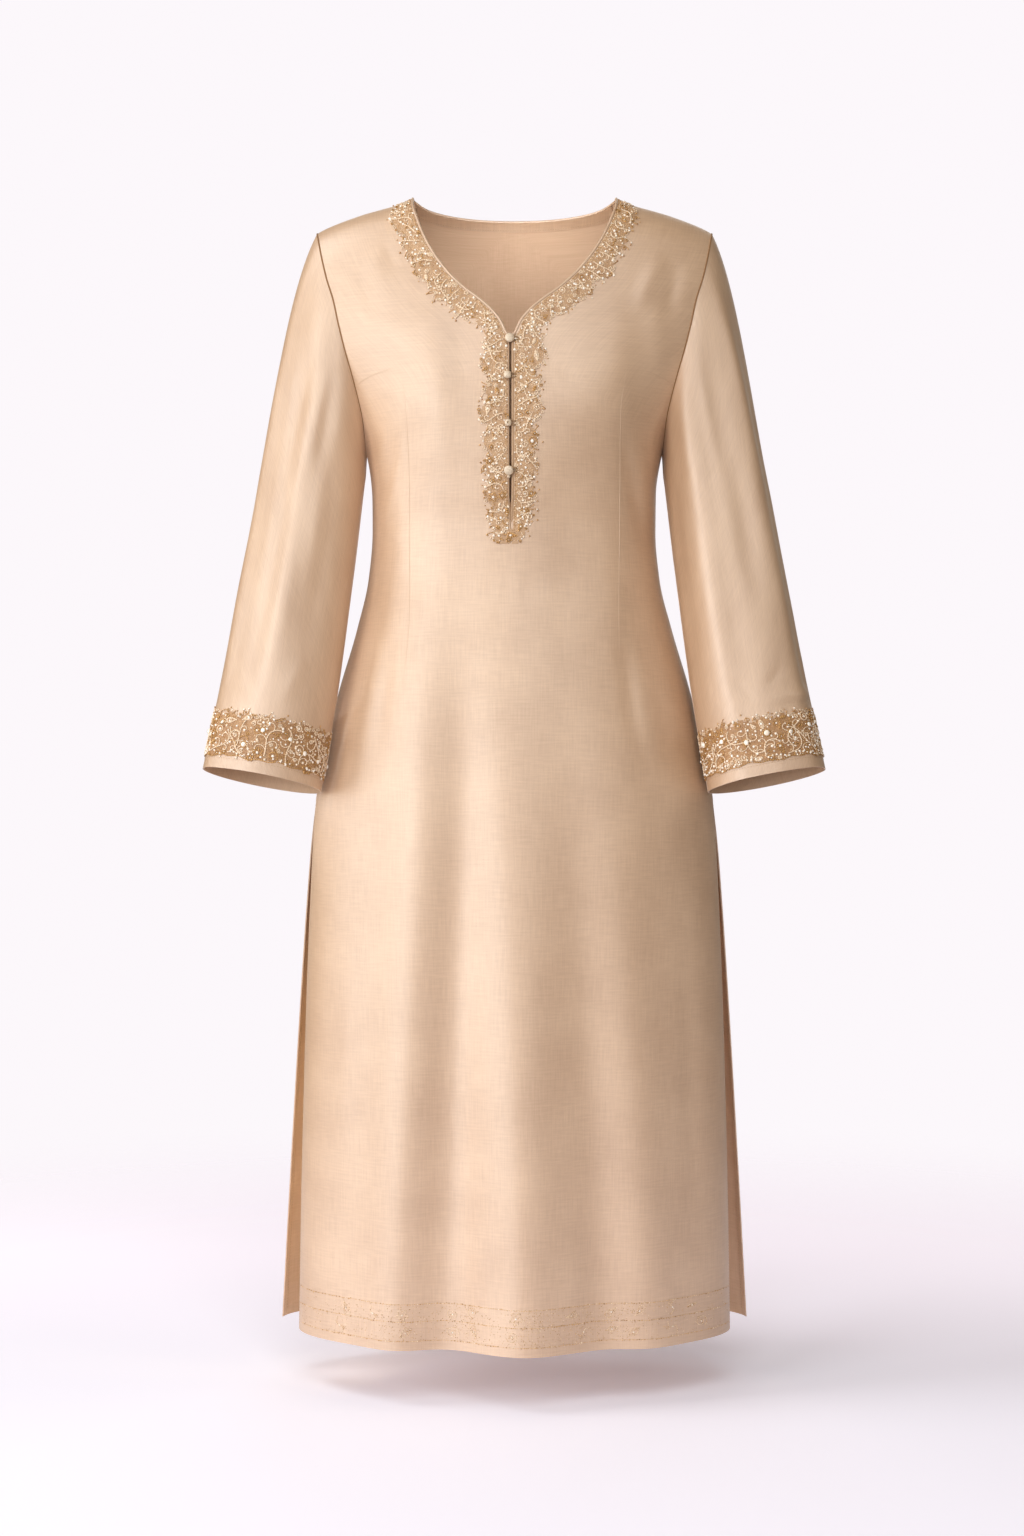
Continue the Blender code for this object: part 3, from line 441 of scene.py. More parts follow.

# %% [markdown]
# ## Creases
# Silk never hangs as smoothly as its pattern. The main creases of this garment are listed one
# by one: each is a line on the cloth from one point to another, with a breadth and a height
# (below zero for a trough), bell shaped across and fading at both ends. A noise texture would
# be quicker, but real creases start somewhere: at the armpits, the dart tips and the waist.

# %% Creases of the front and the back
CREASE_FADE = 1.3
CREASE_COLUMNS = ("x_start", "drop_start", "x_end", "drop_end", "breadth", "height")
CREASES = {
    "front": (
        (0.146, 0.062, 0.115, 0.132, 0.0085, 0.0016),
        (0.160, 0.070, 0.146, 0.138, 0.0085, -0.0016),
        (0.134, 0.112, 0.141, 0.200, 0.0110, 0.0010),
        (-0.143, 0.062, -0.118, 0.122, 0.0090, 0.0010),
        (-0.156, 0.075, -0.136, 0.135, 0.0080, -0.0010),
        (-0.128, 0.052, -0.112, 0.092, 0.0060, -0.0007),
        (-0.134, 0.365, -0.103, 0.238, 0.0065, 0.0011),
        (-0.126, 0.325, -0.110, 0.250, 0.0050, -0.0010),
        (-0.140, 0.300, -0.118, 0.225, 0.0060, 0.0008),
        (0.098, 0.232, 0.131, 0.372, 0.0075, -0.0022),
        (0.109, 0.240, 0.134, 0.336, 0.0060, 0.0013),
        (0.125, 0.235, 0.139, 0.300, 0.0055, -0.0009),
        (0.103, 0.430, 0.117, 0.560, 0.0080, -0.0020),
        (0.114, 0.425, 0.141, 0.600, 0.0095, 0.0018),
        (-0.128, 0.430, -0.152, 0.590, 0.0095, 0.0014),
        (-0.115, 0.440, -0.132, 0.560, 0.0075, -0.0012),
        (0.001, 0.345, 0.004, 0.430, 0.0050, 0.0006),
        (-0.155, 0.700, -0.168, 1.020, 0.0120, 0.0012),
        (0.163, 0.680, 0.178, 1.060, 0.0100, -0.0012),
        (-0.056, 0.100, -0.050, 0.240, 0.0180, -0.0026),
        (-0.102, 0.130, -0.106, 0.620, 0.0340, 0.0058),
        (0.098, 0.130, 0.104, 0.520, 0.0320, 0.0036),
        (-0.020, 0.980, -0.014, 1.118, 0.0100, -0.0010),
        (0.052, 1.010, 0.060, 1.118, 0.0090, 0.0010),
        (-0.099, 0.420, -0.132, 1.620, 0.0240, 0.0038),
        (-0.092, 0.380, -0.096, 0.800, 0.0220, 0.0018),
        (-0.052, 0.420, -0.055, 1.620, 0.0240, -0.0048),
        (-0.048, 0.440, -0.050, 0.800, 0.0220, -0.0022),
        (0.103, 0.420, 0.139, 1.620, 0.0240, 0.0006),
        (0.150, 0.420, 0.168, 1.620, 0.0240, -0.0009),
        (0.093, 0.200, 0.097, 0.520, 0.0170, 0.0012),
        (0.100, 0.100, 0.100, 0.340, 0.0170, 0.0013),
        (-0.075, 0.100, -0.073, 0.340, 0.0170, 0.0014),
        (-0.095, 0.200, -0.097, 0.520, 0.0170, -0.0008),
        (-0.070, 0.200, -0.073, 0.520, 0.0170, 0.0008),
        (0.047, 0.200, 0.048, 0.520, 0.0170, -0.0007),
        (0.098, 0.360, 0.124, 0.720, 0.0130, 0.0007),
    ),
    "back": (
        (-0.132, 0.070, -0.104, 0.170, 0.0100, 0.0014),
        (0.140, 0.080, 0.108, 0.185, 0.0090, 0.0013),
        (0.126, 0.060, 0.090, 0.130, 0.0070, -0.0009),
        (-0.136, 0.360, -0.098, 0.250, 0.0070, 0.0013),
        (-0.122, 0.380, -0.082, 0.290, 0.0065, -0.0011),
        (0.134, 0.350, 0.092, 0.240, 0.0070, 0.0014),
        (0.120, 0.372, 0.080, 0.300, 0.0065, -0.0012),
        (-0.060, 0.345, 0.050, 0.352, 0.0080, -0.0012),
        (-0.045, 0.372, 0.066, 0.380, 0.0080, 0.0010),
        (-0.104, 0.430, -0.136, 0.610, 0.0095, 0.0016),
        (0.098, 0.440, 0.134, 0.600, 0.0090, -0.0015),
        (0.040, 0.640, 0.052, 0.980, 0.0120, 0.0012),
        (-0.160, 0.700, -0.176, 1.060, 0.0110, -0.0013),
        (-0.096, 0.400, -0.130, 1.620, 0.0240, 0.0036),
        (-0.046, 0.430, -0.056, 1.580, 0.0230, -0.0042),
        (0.030, 0.400, 0.034, 1.640, 0.0240, 0.0028),
        (0.074, 0.430, 0.092, 1.600, 0.0220, -0.0044),
        (0.122, 0.460, 0.146, 1.560, 0.0210, 0.0024),
        (-0.150, 0.120, -0.118, 0.205, 0.0095, -0.0016),
        (0.152, 0.115, 0.120, 0.212, 0.0090, 0.0017),
    ),
}


def ridge(from_u, from_v, run_u, run_v, breadth, height):
    """One crease on a flat map: height * bell(distance / breadth) * a sine fade along its run.

    from_u and from_v are measured from its start, and run_u and run_v are its whole run.
    """
    size = math.hypot(run_u, run_v)
    along = (from_u * run_u + from_v * run_v) / size ** 2
    apart = (from_u * run_v - from_v * run_u) / size
    fade = np.sin(math.pi * np.clip(along, 0.0, 1.0)) ** CREASE_FADE
    return height * fade * np.exp(-(apart / breadth) ** 2)


def crease_lift(face, x, drop):
    """The sum of a panel's creases."""
    return sum(ridge(x - crease["x_start"], drop - crease["drop_start"],
                     crease["x_end"] - crease["x_start"], crease["drop_end"] - crease["drop_start"],
                     crease["breadth"], crease["height"])
               for crease in entries(CREASES[face], CREASE_COLUMNS))


def cloth_point(face, x, drop):
    """Creased points of a panel and the directions square to it."""
    points = surface(face, x, drop)
    out = outward(face, points)
    return points + crease_lift(face, x, drop)[..., None] * out, out


print("deepest crease (mm)", 1000 * min(c["height"] for c in entries(CREASES["front"], CREASE_COLUMNS)))

# %% [markdown]
# ## Turning arrays into meshes
# Each piece is worked out as arrays first. A shell of cloth is one grid of points for the
# outside, the same grid moved in by the cloth's thickness, and a rim round every open edge,
# so that it is closed like a real sheet. Equal points are welded, or the two halves of a
# panel would part at the middle. Texture coordinates are in metres along the threads of the
# cloth, so a weave keeps its size everywhere.

# %% Mesh helpers
SHARP_DEGREES = 60.0


def add_mesh(name, points, polygons, uv, finishes, kinds):
    """One object from points, polygons, a texture place per corner, finishes and each one's number."""
    mesh = bpy.data.meshes.new(name)
    sides = polygons.shape[1]
    mesh.vertices.add(len(points))
    mesh.vertices.foreach_set("co", np.ascontiguousarray(points, dtype=np.float32).ravel())
    mesh.loops.add(polygons.size)
    mesh.loops.foreach_set("vertex_index", np.ascontiguousarray(polygons, dtype=np.int32).ravel())
    mesh.polygons.add(len(polygons))
    mesh.polygons.foreach_set("loop_start", np.arange(0, polygons.size, sides, dtype=np.int32))
    for finish in finishes:
        mesh.materials.append(finish)
    mesh.polygons.foreach_set("material_index", np.asarray(kinds, dtype=np.int32))
    layer = mesh.uv_layers.new(name="threads")
    layer.data.foreach_set("uv", np.ascontiguousarray(uv, dtype=np.float32).ravel())
    mesh.update(calc_edges=True)
    mesh.validate()
    mesh.shade_smooth()
    mesh.set_sharp_from_angle(angle=math.radians(SHARP_DEGREES))
    piece = bpy.data.objects.new(name, mesh)
    bpy.context.scene.collection.objects.link(piece)
    return piece


def grid_corners(rows, columns, wrapped=False):
    """Vertex numbers and grid places (row, column) of each quad's corners."""
    row, column = np.mgrid[0:rows - 1, 0:columns - 1]
    rows_of = np.stack([row, row, row + 1, row + 1], axis=-1).reshape(-1, 4)
    columns_of = np.stack([column, column + 1, column + 1, column], axis=-1).reshape(-1, 4)
    width = columns - 1 if wrapped else columns
    return rows_of * width + (columns_of % width), rows_of, columns_of


def attach(piece, solid=None):
    """Ties a piece to the frame: it rides on the one body and may stand for a solid."""
    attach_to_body(piece, "root")
    if solid:
        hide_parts(solid)
    print(piece.name, len(piece.data.polygons), "faces")
    return piece


def rim(quads, count):
    """Quads that close two equal sheets along their open edges, and which edges those are.

    An edge is open where no other quad runs along it the other way. The second sheet's points
    come after the first sheet's count.
    """
    edge_from, edge_to = quads.ravel(), np.roll(quads, -1, axis=1).ravel()
    lone = ~np.isin(edge_from * count + edge_to, edge_to * count + edge_from)
    return np.column_stack([edge_to, edge_from, edge_from + count, edge_to + count])[lone], lone


def shell(name, grids, thickness, finishes):
    """A closed sheet with the first finish outside and the last inside.

    Each grid is (points, outward, uv, turned over, wrapped). Grids are welded where they meet.
    """
    points, out, quads, uv, depth = [], [], [], [], []
    start = 0
    for part, normals, places, turned, wrapped in grids:
        rows, columns = places.shape[:2]
        corners, rows_of, columns_of = grid_corners(rows, columns, wrapped)
        if wrapped:
            part, normals = part[:, :-1], normals[:, :-1]
        wall = thickness[:, :-1] if wrapped and np.ndim(thickness) == 2 else thickness
        corner_uv = places[rows_of, columns_of]
        if turned:
            corners, corner_uv = corners[:, ::-1], corner_uv[:, ::-1]
        points.append(part.reshape(-1, 3))
        out.append(normals.reshape(-1, 3))
        depth.append(np.broadcast_to(wall, part.shape[:2]).ravel())
        quads.append(corners + start)
        uv.append(corner_uv)
        start += part.shape[0] * part.shape[1]
    points, out, depth = np.vstack(points), np.vstack(out), np.concatenate(depth)
    quads, uv = np.vstack(quads), np.concatenate(uv)
    first, weld = np.unique(np.round(points, 6), axis=0, return_index=True, return_inverse=True)[1:]
    outer = points[first]
    inner = outer - depth[first][:, None] * out[first]
    count = len(outer)
    quads = weld.reshape(-1)[quads]
    border, lone = rim(quads, count)
    uv_from, uv_to = uv.reshape(-1, 2), np.roll(uv, -1, axis=1).reshape(-1, 2)
    border_uv = np.stack([uv_to, uv_from, uv_from, uv_to], axis=1)[lone]
    polygons = np.vstack([quads, quads[:, ::-1] + count, border])
    kinds = np.repeat([0, len(finishes) - 1, 0], [len(quads), len(quads), len(border)])
    return add_mesh(name, np.vstack([outer, inner]), polygons,
                    np.concatenate([uv, uv[:, ::-1], border_uv]), finishes, kinds)


def cord(path, up, radius, sides=6, flat=1.0, kind=0):
    """A closed tube along a path: rings of radius * (cos a * side + flat * sin a * up)."""
    path, up = np.asarray(path, dtype=float), np.broadcast_to(up, np.shape(path))
    ahead = unit(np.gradient(path, axis=0))
    side = unit(np.cross(ahead, up))
    lift = np.cross(side, ahead)
    radius = np.broadcast_to(radius, len(path))[:, None, None]
    angle = np.linspace(0.0, 2 * math.pi, sides, endpoint=False)[None, :, None]
    rings = path[:, None] + radius * (np.cos(angle) * side[:, None] + flat * np.sin(angle) * lift[:, None])
    points = np.vstack([rings.reshape(-1, 3), path[:1], path[-1:]])
    row, column = (numbers.ravel() for numbers in np.mgrid[0:len(path) - 1, 0:sides])
    length = run_along(path)
    triangles, uv = [], []
    for corners in (((0, 0), (0, 1), (1, 1)), ((0, 0), (1, 1), (1, 0))):
        triangles.append(np.column_stack([(row + down) * sides + (column + right) % sides
                                          for down, right in corners]))
        uv.append(np.stack([np.column_stack([length[row + down], (column + right) / sides])
                            for down, right in corners], axis=1))
    ring, last = np.arange(sides), (len(path) - 1) * sides
    head = 0 * ring + len(points) - 2
    triangles += [np.column_stack([head, (ring + 1) % sides, ring]),
                  np.column_stack([head + 1, last + ring, last + (ring + 1) % sides])]
    uv.append(np.zeros((2 * sides, 3, 2)))
    triangles = np.vstack(triangles)
    return points, triangles, np.concatenate(uv), np.full(len(triangles), kind)


GOLDEN = (1 + math.sqrt(5)) / 2
BEAD_POINTS = unit(np.array([(-1, GOLDEN, 0), (1, GOLDEN, 0), (-1, -GOLDEN, 0), (1, -GOLDEN, 0),
                             (0, -1, GOLDEN), (0, 1, GOLDEN), (0, -1, -GOLDEN), (0, 1, -GOLDEN),
                             (GOLDEN, 0, -1), (GOLDEN, 0, 1), (-GOLDEN, 0, -1), (-GOLDEN, 0, 1)]))
BEAD_FACES = np.array([(0, 11, 5), (0, 5, 1), (0, 1, 7), (0, 7, 10), (0, 10, 11), (1, 5, 9), (5, 11, 4),
                       (11, 10, 2), (10, 7, 6), (7, 1, 8), (3, 9, 4), (3, 4, 2), (3, 2, 6), (3, 6, 8),
                       (3, 8, 9), (4, 9, 5), (2, 4, 11), (6, 2, 10), (8, 6, 7), (9, 8, 1)])


def finer(points, faces):
    """Each triangle of a ball cut in four, with the new corners pushed out to the ball."""
    a, b, c = faces[:, 0], faces[:, 1], faces[:, 2]
    middles = unit(np.vstack([points[a] + points[b], points[b] + points[c], points[c] + points[a]]))
    every = np.vstack([points, middles])
    ab, bc, ca = (len(points) + k * len(faces) + np.arange(len(faces)) for k in range(3))
    split = np.vstack([np.column_stack(t) for t in ((a, ab, ca), (ab, b, bc), (ca, bc, c), (ab, bc, ca))])
    first, weld = np.unique(np.round(every, 6), axis=0, return_index=True, return_inverse=True)[1:]
    return every[first], weld.reshape(-1)[split]


PEARL_POINTS, PEARL_FACES = finer(BEAD_POINTS, BEAD_FACES)


def beads(centres, out, radius, squash, chance, kind, fine=False, tint=None):
    """Many balls at once: template points * (radius, radius, squash * radius) in each bead's own axes."""
    template, faces = (PEARL_POINTS, PEARL_FACES) if fine else (BEAD_POINTS, BEAD_FACES)
    centres, out = np.asarray(centres), np.asarray(out)
    count = len(centres)
    radius, squash = np.broadcast_to(radius, count), np.broadcast_to(squash, count)
    turn = chance.uniform(0.0, 2 * math.pi, count)
    lean = unit(out + 0.35 * chance.normal(size=(count, 3)))
    across = unit(np.cross(lean, [0.31, 0.17, 0.94]))
    along = np.cross(lean, across)
    first = np.cos(turn)[:, None] * across + np.sin(turn)[:, None] * along
    second = np.cross(lean, first)
    sized = template[None] * np.stack([radius, radius, squash * radius], axis=-1)[:, None]
    points = (centres[:, None] + sized[..., :1] * first[:, None] + sized[..., 1:2] * second[:, None]
              + sized[..., 2:] * lean[:, None])
    triangles = faces[None] + (np.arange(count) * len(template))[:, None, None]
    tint = chance.uniform(0.0, 1.0, (count, 2)) if tint is None else np.column_stack([tint, tint])
    uv = np.broadcast_to(tint[:, None, None], (count, len(faces), 3, 2)).reshape(-1, 3, 2)
    return points.reshape(-1, 3), triangles.reshape(-1, 3), uv, np.full(count * len(faces), kind)


def gather(name, parts, finishes):
    """Several sets of (points, triangles, uv, finish numbers) as one object."""
    points, triangles, uv, kinds = zip(*parts)
    start = np.cumsum([0] + [len(some) for some in points[:-1]])
    triangles = np.vstack([some + first for some, first in zip(triangles, start)])
    return add_mesh(name, np.vstack(points), triangles, np.concatenate(uv), finishes, np.concatenate(kinds))


print("triangles of a pearl", len(PEARL_FACES))

# %% [markdown]
# ## Silk
# The cloth is a plain woven raw silk in a pale champagne. Its threads are not all equally
# thick, so short thick stretches (slubs) run across it, and they matter more to the eye than
# the weave itself. Two sets of waves make the weave, two stretched noises make the slubs
# across and along, and all of it follows the threads. The gloss is a broad one: silk is not
# a mirror, yet its folds go from almost white to brown.

# %% Silk finish
ONE_WAVE = 2 * math.pi / 20  # the wave texture's scale for one wave in each unit of length
SLUB_SCALES = ((48.0, 600.0, 1.0), (760.0, 34.0, 1.0))
CLOUD_SCALE = 14.0
BUMP_METRES = 0.00012


def silk_finish(name, dark, light, roughness, weave_pitch=0.00055, relief=0.55, gloss=1.0):
    """Woven silk: waves both ways for the threads, noise stretched both ways for the slubs."""
    finish = new_finish(name, Roughness=roughness, Specular_IOR_Level=0.9 * gloss, IOR=1.85,
                        Coat_Weight=0.50 * gloss, Coat_Roughness=0.50, Coat_IOR=1.75,
                        Sheen_Weight=0.10, Sheen_Roughness=0.35, Sheen_Tint=(1.0, 0.93, 0.85, 1.0))
    threads = add_node(finish, "UVMap", uv_map="threads")
    wave = {"Vector": threads, "Scale": ONE_WAVE / weave_pitch, "Distortion": 1.2, "Detail": 1.0,
            "Detail Scale": 0.3}
    weave = combine(finish, "MULTIPLY", *(add_node(finish, "TexWave", wave, "Fac", bands_direction=way)
                                          for way in ("X", "Y")))
    stretched = [add_node(finish, "Mapping", {"Vector": threads, "Scale": scale}) for scale in SLUB_SCALES]
    grain = {"Scale": 1.0, "Detail": 3.0, "Roughness": 0.6}
    slub = combine(finish, "ADD", *(add_node(finish, "TexNoise", {"Vector": place, **grain})
                                    for place in stretched))
    cloudy = add_node(finish, "TexNoise", {"Vector": threads, "Scale": CLOUD_SCALE, "Detail": 2.0})
    tone = add_node(finish, "MapRange", {"Value": combine(finish, "ADD", slub, cloudy),
                                         "From Min": 1.15, "From Max": 1.85})
    bump = add_node(finish, "Bump", {"Height": combine(finish, "ADD", slub, weave), "Strength": relief,
                                     "Distance": BUMP_METRES})
    feed(finish, Base_Color=ramp(finish, tone, (dark, light)), Normal=bump)
    return finish


silk = silk_finish("champagne_silk", (0.510, 0.310, 0.177, 1.0), (0.648, 0.428, 0.266, 1.0), 0.44)
silk_wrong_side = silk_finish("silk_wrong_side", (0.590, 0.388, 0.240, 1.0), (0.700, 0.484, 0.326, 1.0),
                              0.6, gloss=0.35)
print("silk nodes", len(silk.node_tree.nodes))

# %% [markdown]
# ## The front and the back
# Each panel is cut in one piece and is made as two half grids that share the middle line.
# A table gives the rows: each runs from the neckline or the middle out to the armhole, the
# side seam or the slit. The grid is fine, because the creases are only a few millimetres
# wide, and its columns crowd towards the sides, where the cloth turns away from us.
# The cloth is half a millimetre thick, and doubled where its edges are turned under.

# %% Rows of the panels
ROW_COLUMNS = ("inner_x", "inner_drop", "outer_x", "outer_drop")
ROWS = {
    "front": (
        (0.1015, 0.0010, 0.1965, 0.0360),
        (0.1000, 0.0160, 0.1935, 0.0480),
        (0.0955, 0.0310, 0.1892, 0.0680),
        (0.0880, 0.0500, 0.1838, 0.0900),
        (0.0772, 0.0700, 0.1769, 0.1120),
        (0.0630, 0.0895, 0.1711, 0.1380),
        (0.0465, 0.1062, 0.1648, 0.1630),
        (0.0308, 0.1185, 0.1586, 0.1850),
        (0.0182, 0.1300, 0.1532, 0.2060),
        (0.0098, 0.1410, 0.1491, 0.2260),
        (0.0052, 0.1510, 0.1477, 0.2430),
        (0.0010, 0.1600, 0.1470, 0.2560),
        (0.0010, 0.1900, 0.0, 0.2750),
        (0.0010, 0.2200, 0.0, 0.2960),
        (0.0010, 0.2500, 0.0, 0.3150),
        (0.0010, 0.2780, 0.0, 0.3320),
        (0.0010, 0.3050, 0.0, 0.3490),
        (0.0000, 0.3310, 0.0, 0.3660),
        (0.0000, 0.3750, 0.0, 0.3980),
        (0.0000, 0.4250, 0.0, 0.4380),
        (0.0000, 0.4850, 0.0, 0.4900),
        (0.0000, 0.5450, 0.0, 0.5460),
        (0.0000, 0.6010, 0.0, 0.6010),
        (0.0000, 0.6800, 0.0, 0.6800),
        (0.0000, 0.7700, 0.0, 0.7700),
        (0.0000, 0.8600, 0.0, 0.8600),
        (0.0000, 0.9500, 0.0, 0.9500),
        (0.0000, 1.0400, 0.0, 1.0400),
        (0.0000, 1.1230, 0.0, 1.1230),
    ),
    "back": (
        (0.1015, 0.0010, 0.1965, 0.0360),
        (0.0880, 0.0060, 0.1950, 0.0460),
        (0.0730, 0.0085, 0.1920, 0.0630),
        (0.0560, 0.0103, 0.1875, 0.0860),
        (0.0370, 0.0115, 0.1825, 0.1100),
        (0.0180, 0.0121, 0.1760, 0.1380),
        (0.0000, 0.0123, 0.1690, 0.1650),
        (0.0000, 0.0400, 0.1605, 0.1950),
        (0.0000, 0.0800, 0.1520, 0.2240),
        (0.0000, 0.1300, 0.1482, 0.2440),
        (0.0000, 0.1800, 0.1470, 0.2560),
        (0.0000, 0.2300, 0.0, 0.2850),
        (0.0000, 0.2800, 0.0, 0.3180),
        (0.0000, 0.3300, 0.0, 0.3540),
        (0.0000, 0.3850, 0.0, 0.3980),
        (0.0000, 0.4400, 0.0, 0.4450),
        (0.0000, 0.4950, 0.0, 0.4980),
        (0.0000, 0.5480, 0.0, 0.5490),
        (0.0000, 0.6010, 0.0, 0.6010),
        (0.0000, 0.7000, 0.0, 0.7000),
        (0.0000, 0.8000, 0.0, 0.8000),
        (0.0000, 0.9100, 0.0, 0.9100),
        (0.0000, 1.0200, 0.0, 1.0200),
        (0.0000, 1.1230, 0.0, 1.1230),
    ),
}


def row_value(face, name, at):
    """A column of the rows' table at any place between its rows (0 is the first row)."""
    values = named(ROWS[face], ROW_COLUMNS, name)
    return smooth(np.arange(len(values)), values, at)


def armhole_rows(face):
    """x where each row meets the armhole. A zero in the table means that a row ends at the side."""
    outer = named(ROWS[face], ROW_COLUMNS, "outer_x")
    return outer[outer > 0.0]


def outer_place(face, at):
    """Where a row ends: on the armhole by the table, further down at the side's half width."""
    outer = armhole_rows(face)
    last = len(outer) - 1
    drop = row_value(face, "outer_drop", at)
    above = smooth(np.arange(last + 1), outer, np.minimum(at, last))
    return np.where(at <= last, above, half_width(face, drop)), drop


def down_table(few, last, many):
    """Places down a table of rows, crowded towards the shoulder seam above its second row."""
    return np.concatenate([np.linspace(0.0, 1.0, few)[:-1] ** 2, np.linspace(1.0, last, many)])


def opening_middle(drop):
    """x of the middle of the front's neck and slit, which leans a little to one side."""
    return FRONT_OPENING_X * ease(drop / FRONT_OPENING_TOP)


def row_places(face, pitch):
    """Places down the table that are a pitch apart on the cloth, closer next to the shoulder seam."""
    at = np.linspace(0.0, len(ROWS[face]) - 1, 2000)
    run = 0.5 * (np.hypot(*np.diff([row_value(face, "inner_x", at), row_value(face, "inner_drop", at)]))
                 + np.hypot(*np.diff(outer_place(face, at))))
    run = np.concatenate([[0.0], np.cumsum(run)])
    even = np.interp(np.linspace(0.0, run[-1], int(run[-1] / pitch) + 1), run, at)
    return np.concatenate([np.linspace(0.0, 1.0, 7)[:-1] ** 2, even[even >= 1.0 - 1e-9]])


def panel_places(face, side, at, columns):
    """x and drop of half a panel: inner + (outer - inner) * sin, in even steps of a quarter turn."""
    share = np.sin(np.linspace(0.0, math.pi / 2, columns + 1))
    inner_x, inner_drop = row_value(face, "inner_x", at), row_value(face, "inner_drop", at)
    outer_x, outer_drop = outer_place(face, at)
    start, end = side * inner_x, side * outer_x
    if face == "front":
        start = start + opening_middle(inner_drop)
    drop = inner_drop[:, None] + (outer_drop - inner_drop)[:, None] * share
    x = start[:, None] + (end - start)[:, None] * share
    shoulder = side * half_width(face, drop[0]) - x[0]
    x = x + np.clip(1 - at, 0.0, 1.0)[:, None] * shoulder
    limit = half_width(face, drop)
    return np.clip(x, -limit, limit), drop


print("rows of the front", len(row_places("front", 0.0050)))

# %% [markdown]
# Now the two panels themselves. The thickness grows near the hem and the slit edges, where
# the cloth is turned in, so the turning shows inside as a step 11 mm from the edge.
# The small lamp beside the hip is linked to the front alone and casts no shadow, so it
# lightens the shaded side of the front and nothing else.

# %% Front and back panels
CLOTH = 0.0006
TURNED = 0.0005
TURNING = 0.0110
PANEL_PITCH = {"front": 0.0046, "back": 0.0060}
PANEL_STEPS = {"front": 60, "back": 46}


def edge_distance(points, at_end):
    """How far each point of a row is from the row's outer end, along the cloth."""
    steps = np.linalg.norm(np.diff(points, axis=1), axis=2)
    reach = np.concatenate([np.zeros((len(points), 1)), np.cumsum(steps, axis=1)], axis=1)
    return reach[:, -1:] - reach if at_end else reach


def dress_panel(face):
    """A panel as a thin closed shell, with its creases and its turned edges."""
    at = row_places(face, PANEL_PITCH[face])
    grids = []
    for side in (-1.0, 1.0):
        x, drop = panel_places(face, side, at, PANEL_STEPS[face])
        points, out = cloth_point(face, x, drop)
        uv = np.stack([side * edge_distance(points, False), -drop], axis=-1)
        grids.append((points, out, uv, (side > 0) == (face == "front"), False))
        to_slit = np.where(drop >= SLIT_TOP, edge_distance(points, True), 1.0)
        to_edge = np.minimum(to_slit, HEM - drop)
        wall = CLOTH + TURNED * (to_edge < TURNING)
    return attach(shell(face + "_cloth", grids, wall, [silk, silk_wrong_side]), face + "_panel")


front_cloth = dress_panel("front")
back_cloth = dress_panel("back")
fill_light = bpy.data.objects["side_fill"]
fill_light.data.use_shadow = False
fill_light.light_linking.receiver_collection = bpy.data.collections.new("lit_by_side_fill")
fill_light.light_linking.receiver_collection.objects.link(front_cloth)

# %% [markdown]
# ## The armhole
# The sleeve has to leave the body exactly along the armhole, so its first ring of points is
# read off the two panels: down the front row ends, then up the back ones. Each point also
# gets a direction off the cloth, along which the sleeve starts. Under the arm that direction
# turns sideways, because a sleeve can't run into the side seam.

# %% Armhole
ARM_TOP = np.array((0.1985, -0.0180, -0.2780))
ARM_CUFF = np.array((0.2462, -0.0600, -0.5812))
ARM_OUTWARD_DEGREES = 10.6
ARM_FORWARD_DEGREES = 8.9
SLEEVE_COLUMNS = ("along", "half_width", "half_depth", "inward")
SLEEVE = (
    (0.00, 0.0505, 0.0560, 0.0000),
    (0.30, 0.0533, 0.0550, 0.0015),
    (0.65, 0.0567, 0.0525, 0.0017),
    (1.00, 0.0585, 0.0485, 0.0000),
)
SEAM_GAP = 0.0004
UNDERARM_SIDESTEP = 2.0
UNDERARM_NARROWNESS = 6
JOIN_SPREAD = 0.45


def armhole_half(face):
    """Row ends round the left armhole, ways off the cloth, and angles in step with the length."""
    x, drop = outer_place(face, down_table(20, len(armhole_rows(face)) - 1, 160))
    edge = surface(face, x, drop)
    off = unit(np.cross(np.gradient(edge, axis=0), outward(face, edge)))
    inside = surface(face, 0.97 * x, drop + 0.01)
    off *= np.sign(np.sum(off * (edge - inside), axis=1, keepdims=True))
    run = run_along(edge)
    return edge, off, math.pi * run / run[-1]


def armhole(angle):
    """Points and ways off the cloth round the armhole: angle 0 is the shoulder, pi the armpit."""
    front, front_off, front_angle = armhole_half("front")
    back, back_off, back_angle = armhole_half("back")
    for end in (0, -1):
        meet = (front_off[end] + back_off[end]) / 2
        for off, turn in ((front_off, front_angle), (back_off, back_angle)):
            close = ease(1 - np.abs(turn - turn[end]) / JOIN_SPREAD)[:, None]
            off += close * (meet - off[end])
    angles = np.concatenate([front_angle, (2 * math.pi - back_angle)[::-1][1:]])
    points = between(angle, angles, np.vstack([front, back[::-1][1:]]))
    ways = between(angle, angles, np.vstack([front_off, back_off[::-1][1:]]))
    low = ((1 - np.cos(angle)) / 2) ** UNDERARM_NARROWNESS
    ways[:, 0] += UNDERARM_SIDESTEP * low
    return points, unit(ways)


print("armhole length (m)", round(sum(run_along(armhole_half(face)[0])[-1] for face in ("front", "back")), 4))

# %% [markdown]
# ## The sleeves
# Below the armpit a sleeve is a tube round a straight line, a little wider than deep at the
# cuff. Above, its cap is a curve for each angle, from the armhole into the tube: a cubic that
# is told the direction at both ends. Its folds follow the arm, so they are given by an angle
# round the arm and a share of the way down. Both sleeves share the form but not the folds.

